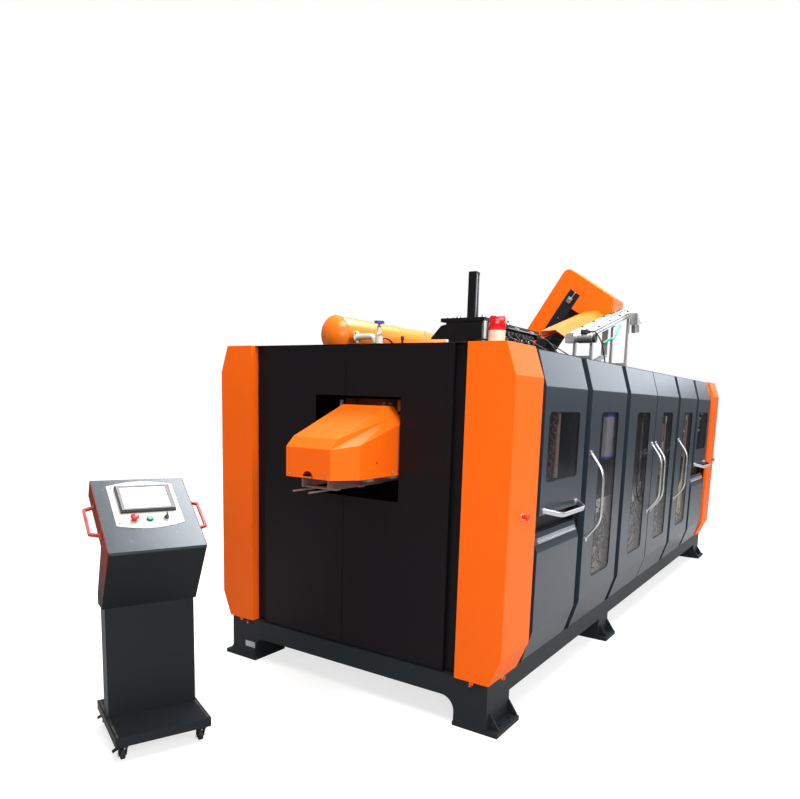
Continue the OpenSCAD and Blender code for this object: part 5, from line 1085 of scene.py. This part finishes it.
b = back
makePiece("backLouvres", darkPaint, at(toBack, louvre(*b["louvre"]), *[
    ((x0 + x1) / 2 + side, b["face"], z - k * b["pitch"])
    for x0, x1 in b["edges"][::2] for side in b["columns"] for z in b["fields"] for k in range(b["rows"])]))
locks = [(x, b["face"], z) for x0, x1 in b["edges"] for x in (x0 + b["lockIn"], x1 - b["lockIn"]) for z in b["lockZ"]]
lock = lathe([(13.5, 0), (13.5, 2.2), (11.5, 3.4), (9.5, 3.4), (9.5, 2.4), (0, 2.4)], 24)
makePiece("backLocks", screwZinc, at(toBack, lock, *locks), at(toBack, slab(15, 4.2, 1.5, 5, 0.8), *locks))
makePiece("backSeams", darkPaint, *[box(x0, x1, y, y + 3, 300, 2080) for x0, x1, y in b["seams"]])

# Roof: seam strips over the joints of its sheets, with their screws
seams = [(1155, -925, -760), (4605, -925, -760), (2880, 300, 945), (3730, 300, 945), (4605, 300, 945)]
makePiece("roofSeams", darkPaint, *[box(x - 14, x + 14, y0, y1, 2099.8, 2102.2, 0.8) for x, y0, y1 in seams])
makePiece("roofScrews", screwZinc, at(upright, capScrew(5.2, 3.4), *[
    (x, y, 2102.1) for x, y0, y1 in seams for y in (y0 + 30, y1 - 30)]))
print("back and roof fitted")


stage = {"floorTone": 0.42, "glowNear": 0.70, "glowFar": 0.95, "reach": (5.0, 12.0), "half": 700.0}


# What the camera and glass see directly gets the second shader, all else the first.
def pickShader(tree, plain, seen, output):
    path = addNode(tree, "LightPath").outputs
    direct = mathNode(tree, "MAXIMUM", path["Is Camera Ray"], path["Is Transmission Ray"])
    addNode(tree, output, {0: addNode(tree, "MixShader", {0: direct, 1: plain, 2: seen}).outputs[0]})


# The floor keeps the shadow and looks white to the camera and through glass.
def makeStage():
    mesh = bpy.data.meshes.new("floor")
    s = stage["half"]
    mesh.from_pydata([(-s, -s, 0), (s, -s, 0), (s, s, 0), (-s, s, 0)], [], [(0, 1, 2, 3)])
    mat = bpy.data.materials.new("paleFloor")
    mat.use_nodes = True
    tree = mat.node_tree
    tree.nodes.clear()
    diffuse = addNode(tree, "BsdfDiffuse", {"Color": (*[stage["floorTone"]] * 3, 1)}).outputs[0]
    away = addNode(tree, "VectorMath", {0: place(tree)}, operation="LENGTH").outputs["Value"]
    strength = ramp(tree, away, *stage["reach"], stage["glowNear"], stage["glowFar"])
    glow = addNode(tree, "Emission", {"Strength": strength}).outputs[0]
    pickShader(tree, diffuse, addNode(tree, "AddShader", {0: diffuse, 1: glow}).outputs[0], "OutputMaterial")
    mesh.materials.append(mat)
    shown("floor", mesh)


lights = {
    "world": 0.26,
    "areas": [
        # name, place, aims at, size, watts, colour
        ("doorSide", (-2.5, -8.5, 5.5), (-1.0, -1.0, 1.2), (8.0, 3.5), 480.0, (1.0, 0.98, 0.95)),
        ("farSheen", (13.0, -3.6, 6.2), (0.5, -1.0, 1.9), (6.0, 5.0), 330.0, (0.84, 0.91, 1.0)),
        ("endSide", (-9.0, -4.5, 3.4), (-2.9, -1.0, 1.3), (4.0, 3.0), 190.0, (1.0, 0.98, 0.96)),
        ("frontTop", (-5.2, -1.8, 8.0), (-3.2, -0.5, 1.4), (3.0, 3.0), 400.0, (1.0, 0.99, 0.97)),
        ("overhead", (1.7, 0.4, 8.0), (1.7, 0.4, 0.0), (6.6, 6.0), 1700.0, (1.0, 1.0, 1.0)),
    ],
}


def makeLights():
    world = bpy.data.worlds.new("paleRoom")
    bpy.context.scene.world = world
    world.use_nodes = True
    tree = world.node_tree
    tree.nodes.clear()
    room, white = (addNode(tree, "Background", {"Color": (1, 1, 1, 1), "Strength": strength}).outputs[0]
                   for strength in (lights["world"], 1.0))
    pickShader(tree, room, white, "OutputWorld")
    for name, spot, aim, size, watts, color in lights["areas"]:
        data = bpy.data.lights.new(name, "AREA")
        data.shape = "RECTANGLE"
        data.size, data.size_y = size
        data.energy = watts
        data.color = color
        lamp = shown(name, data)
        lamp.visible_camera = False
        z = np.array(spot) - np.array(aim)
        z = z / np.linalg.norm(z)
        x = np.cross((0, 0, 1), z)
        x = x / np.linalg.norm(x) if np.linalg.norm(x) > 1e-6 else np.array((1.0, 0, 0))
        lamp.matrix_world = posed(np.array([x, np.cross(z, x), z]).T, spot)


makeStage()
makeLights()
bpy.context.scene.view_settings.view_transform = "Standard"
print("stage and lights made")
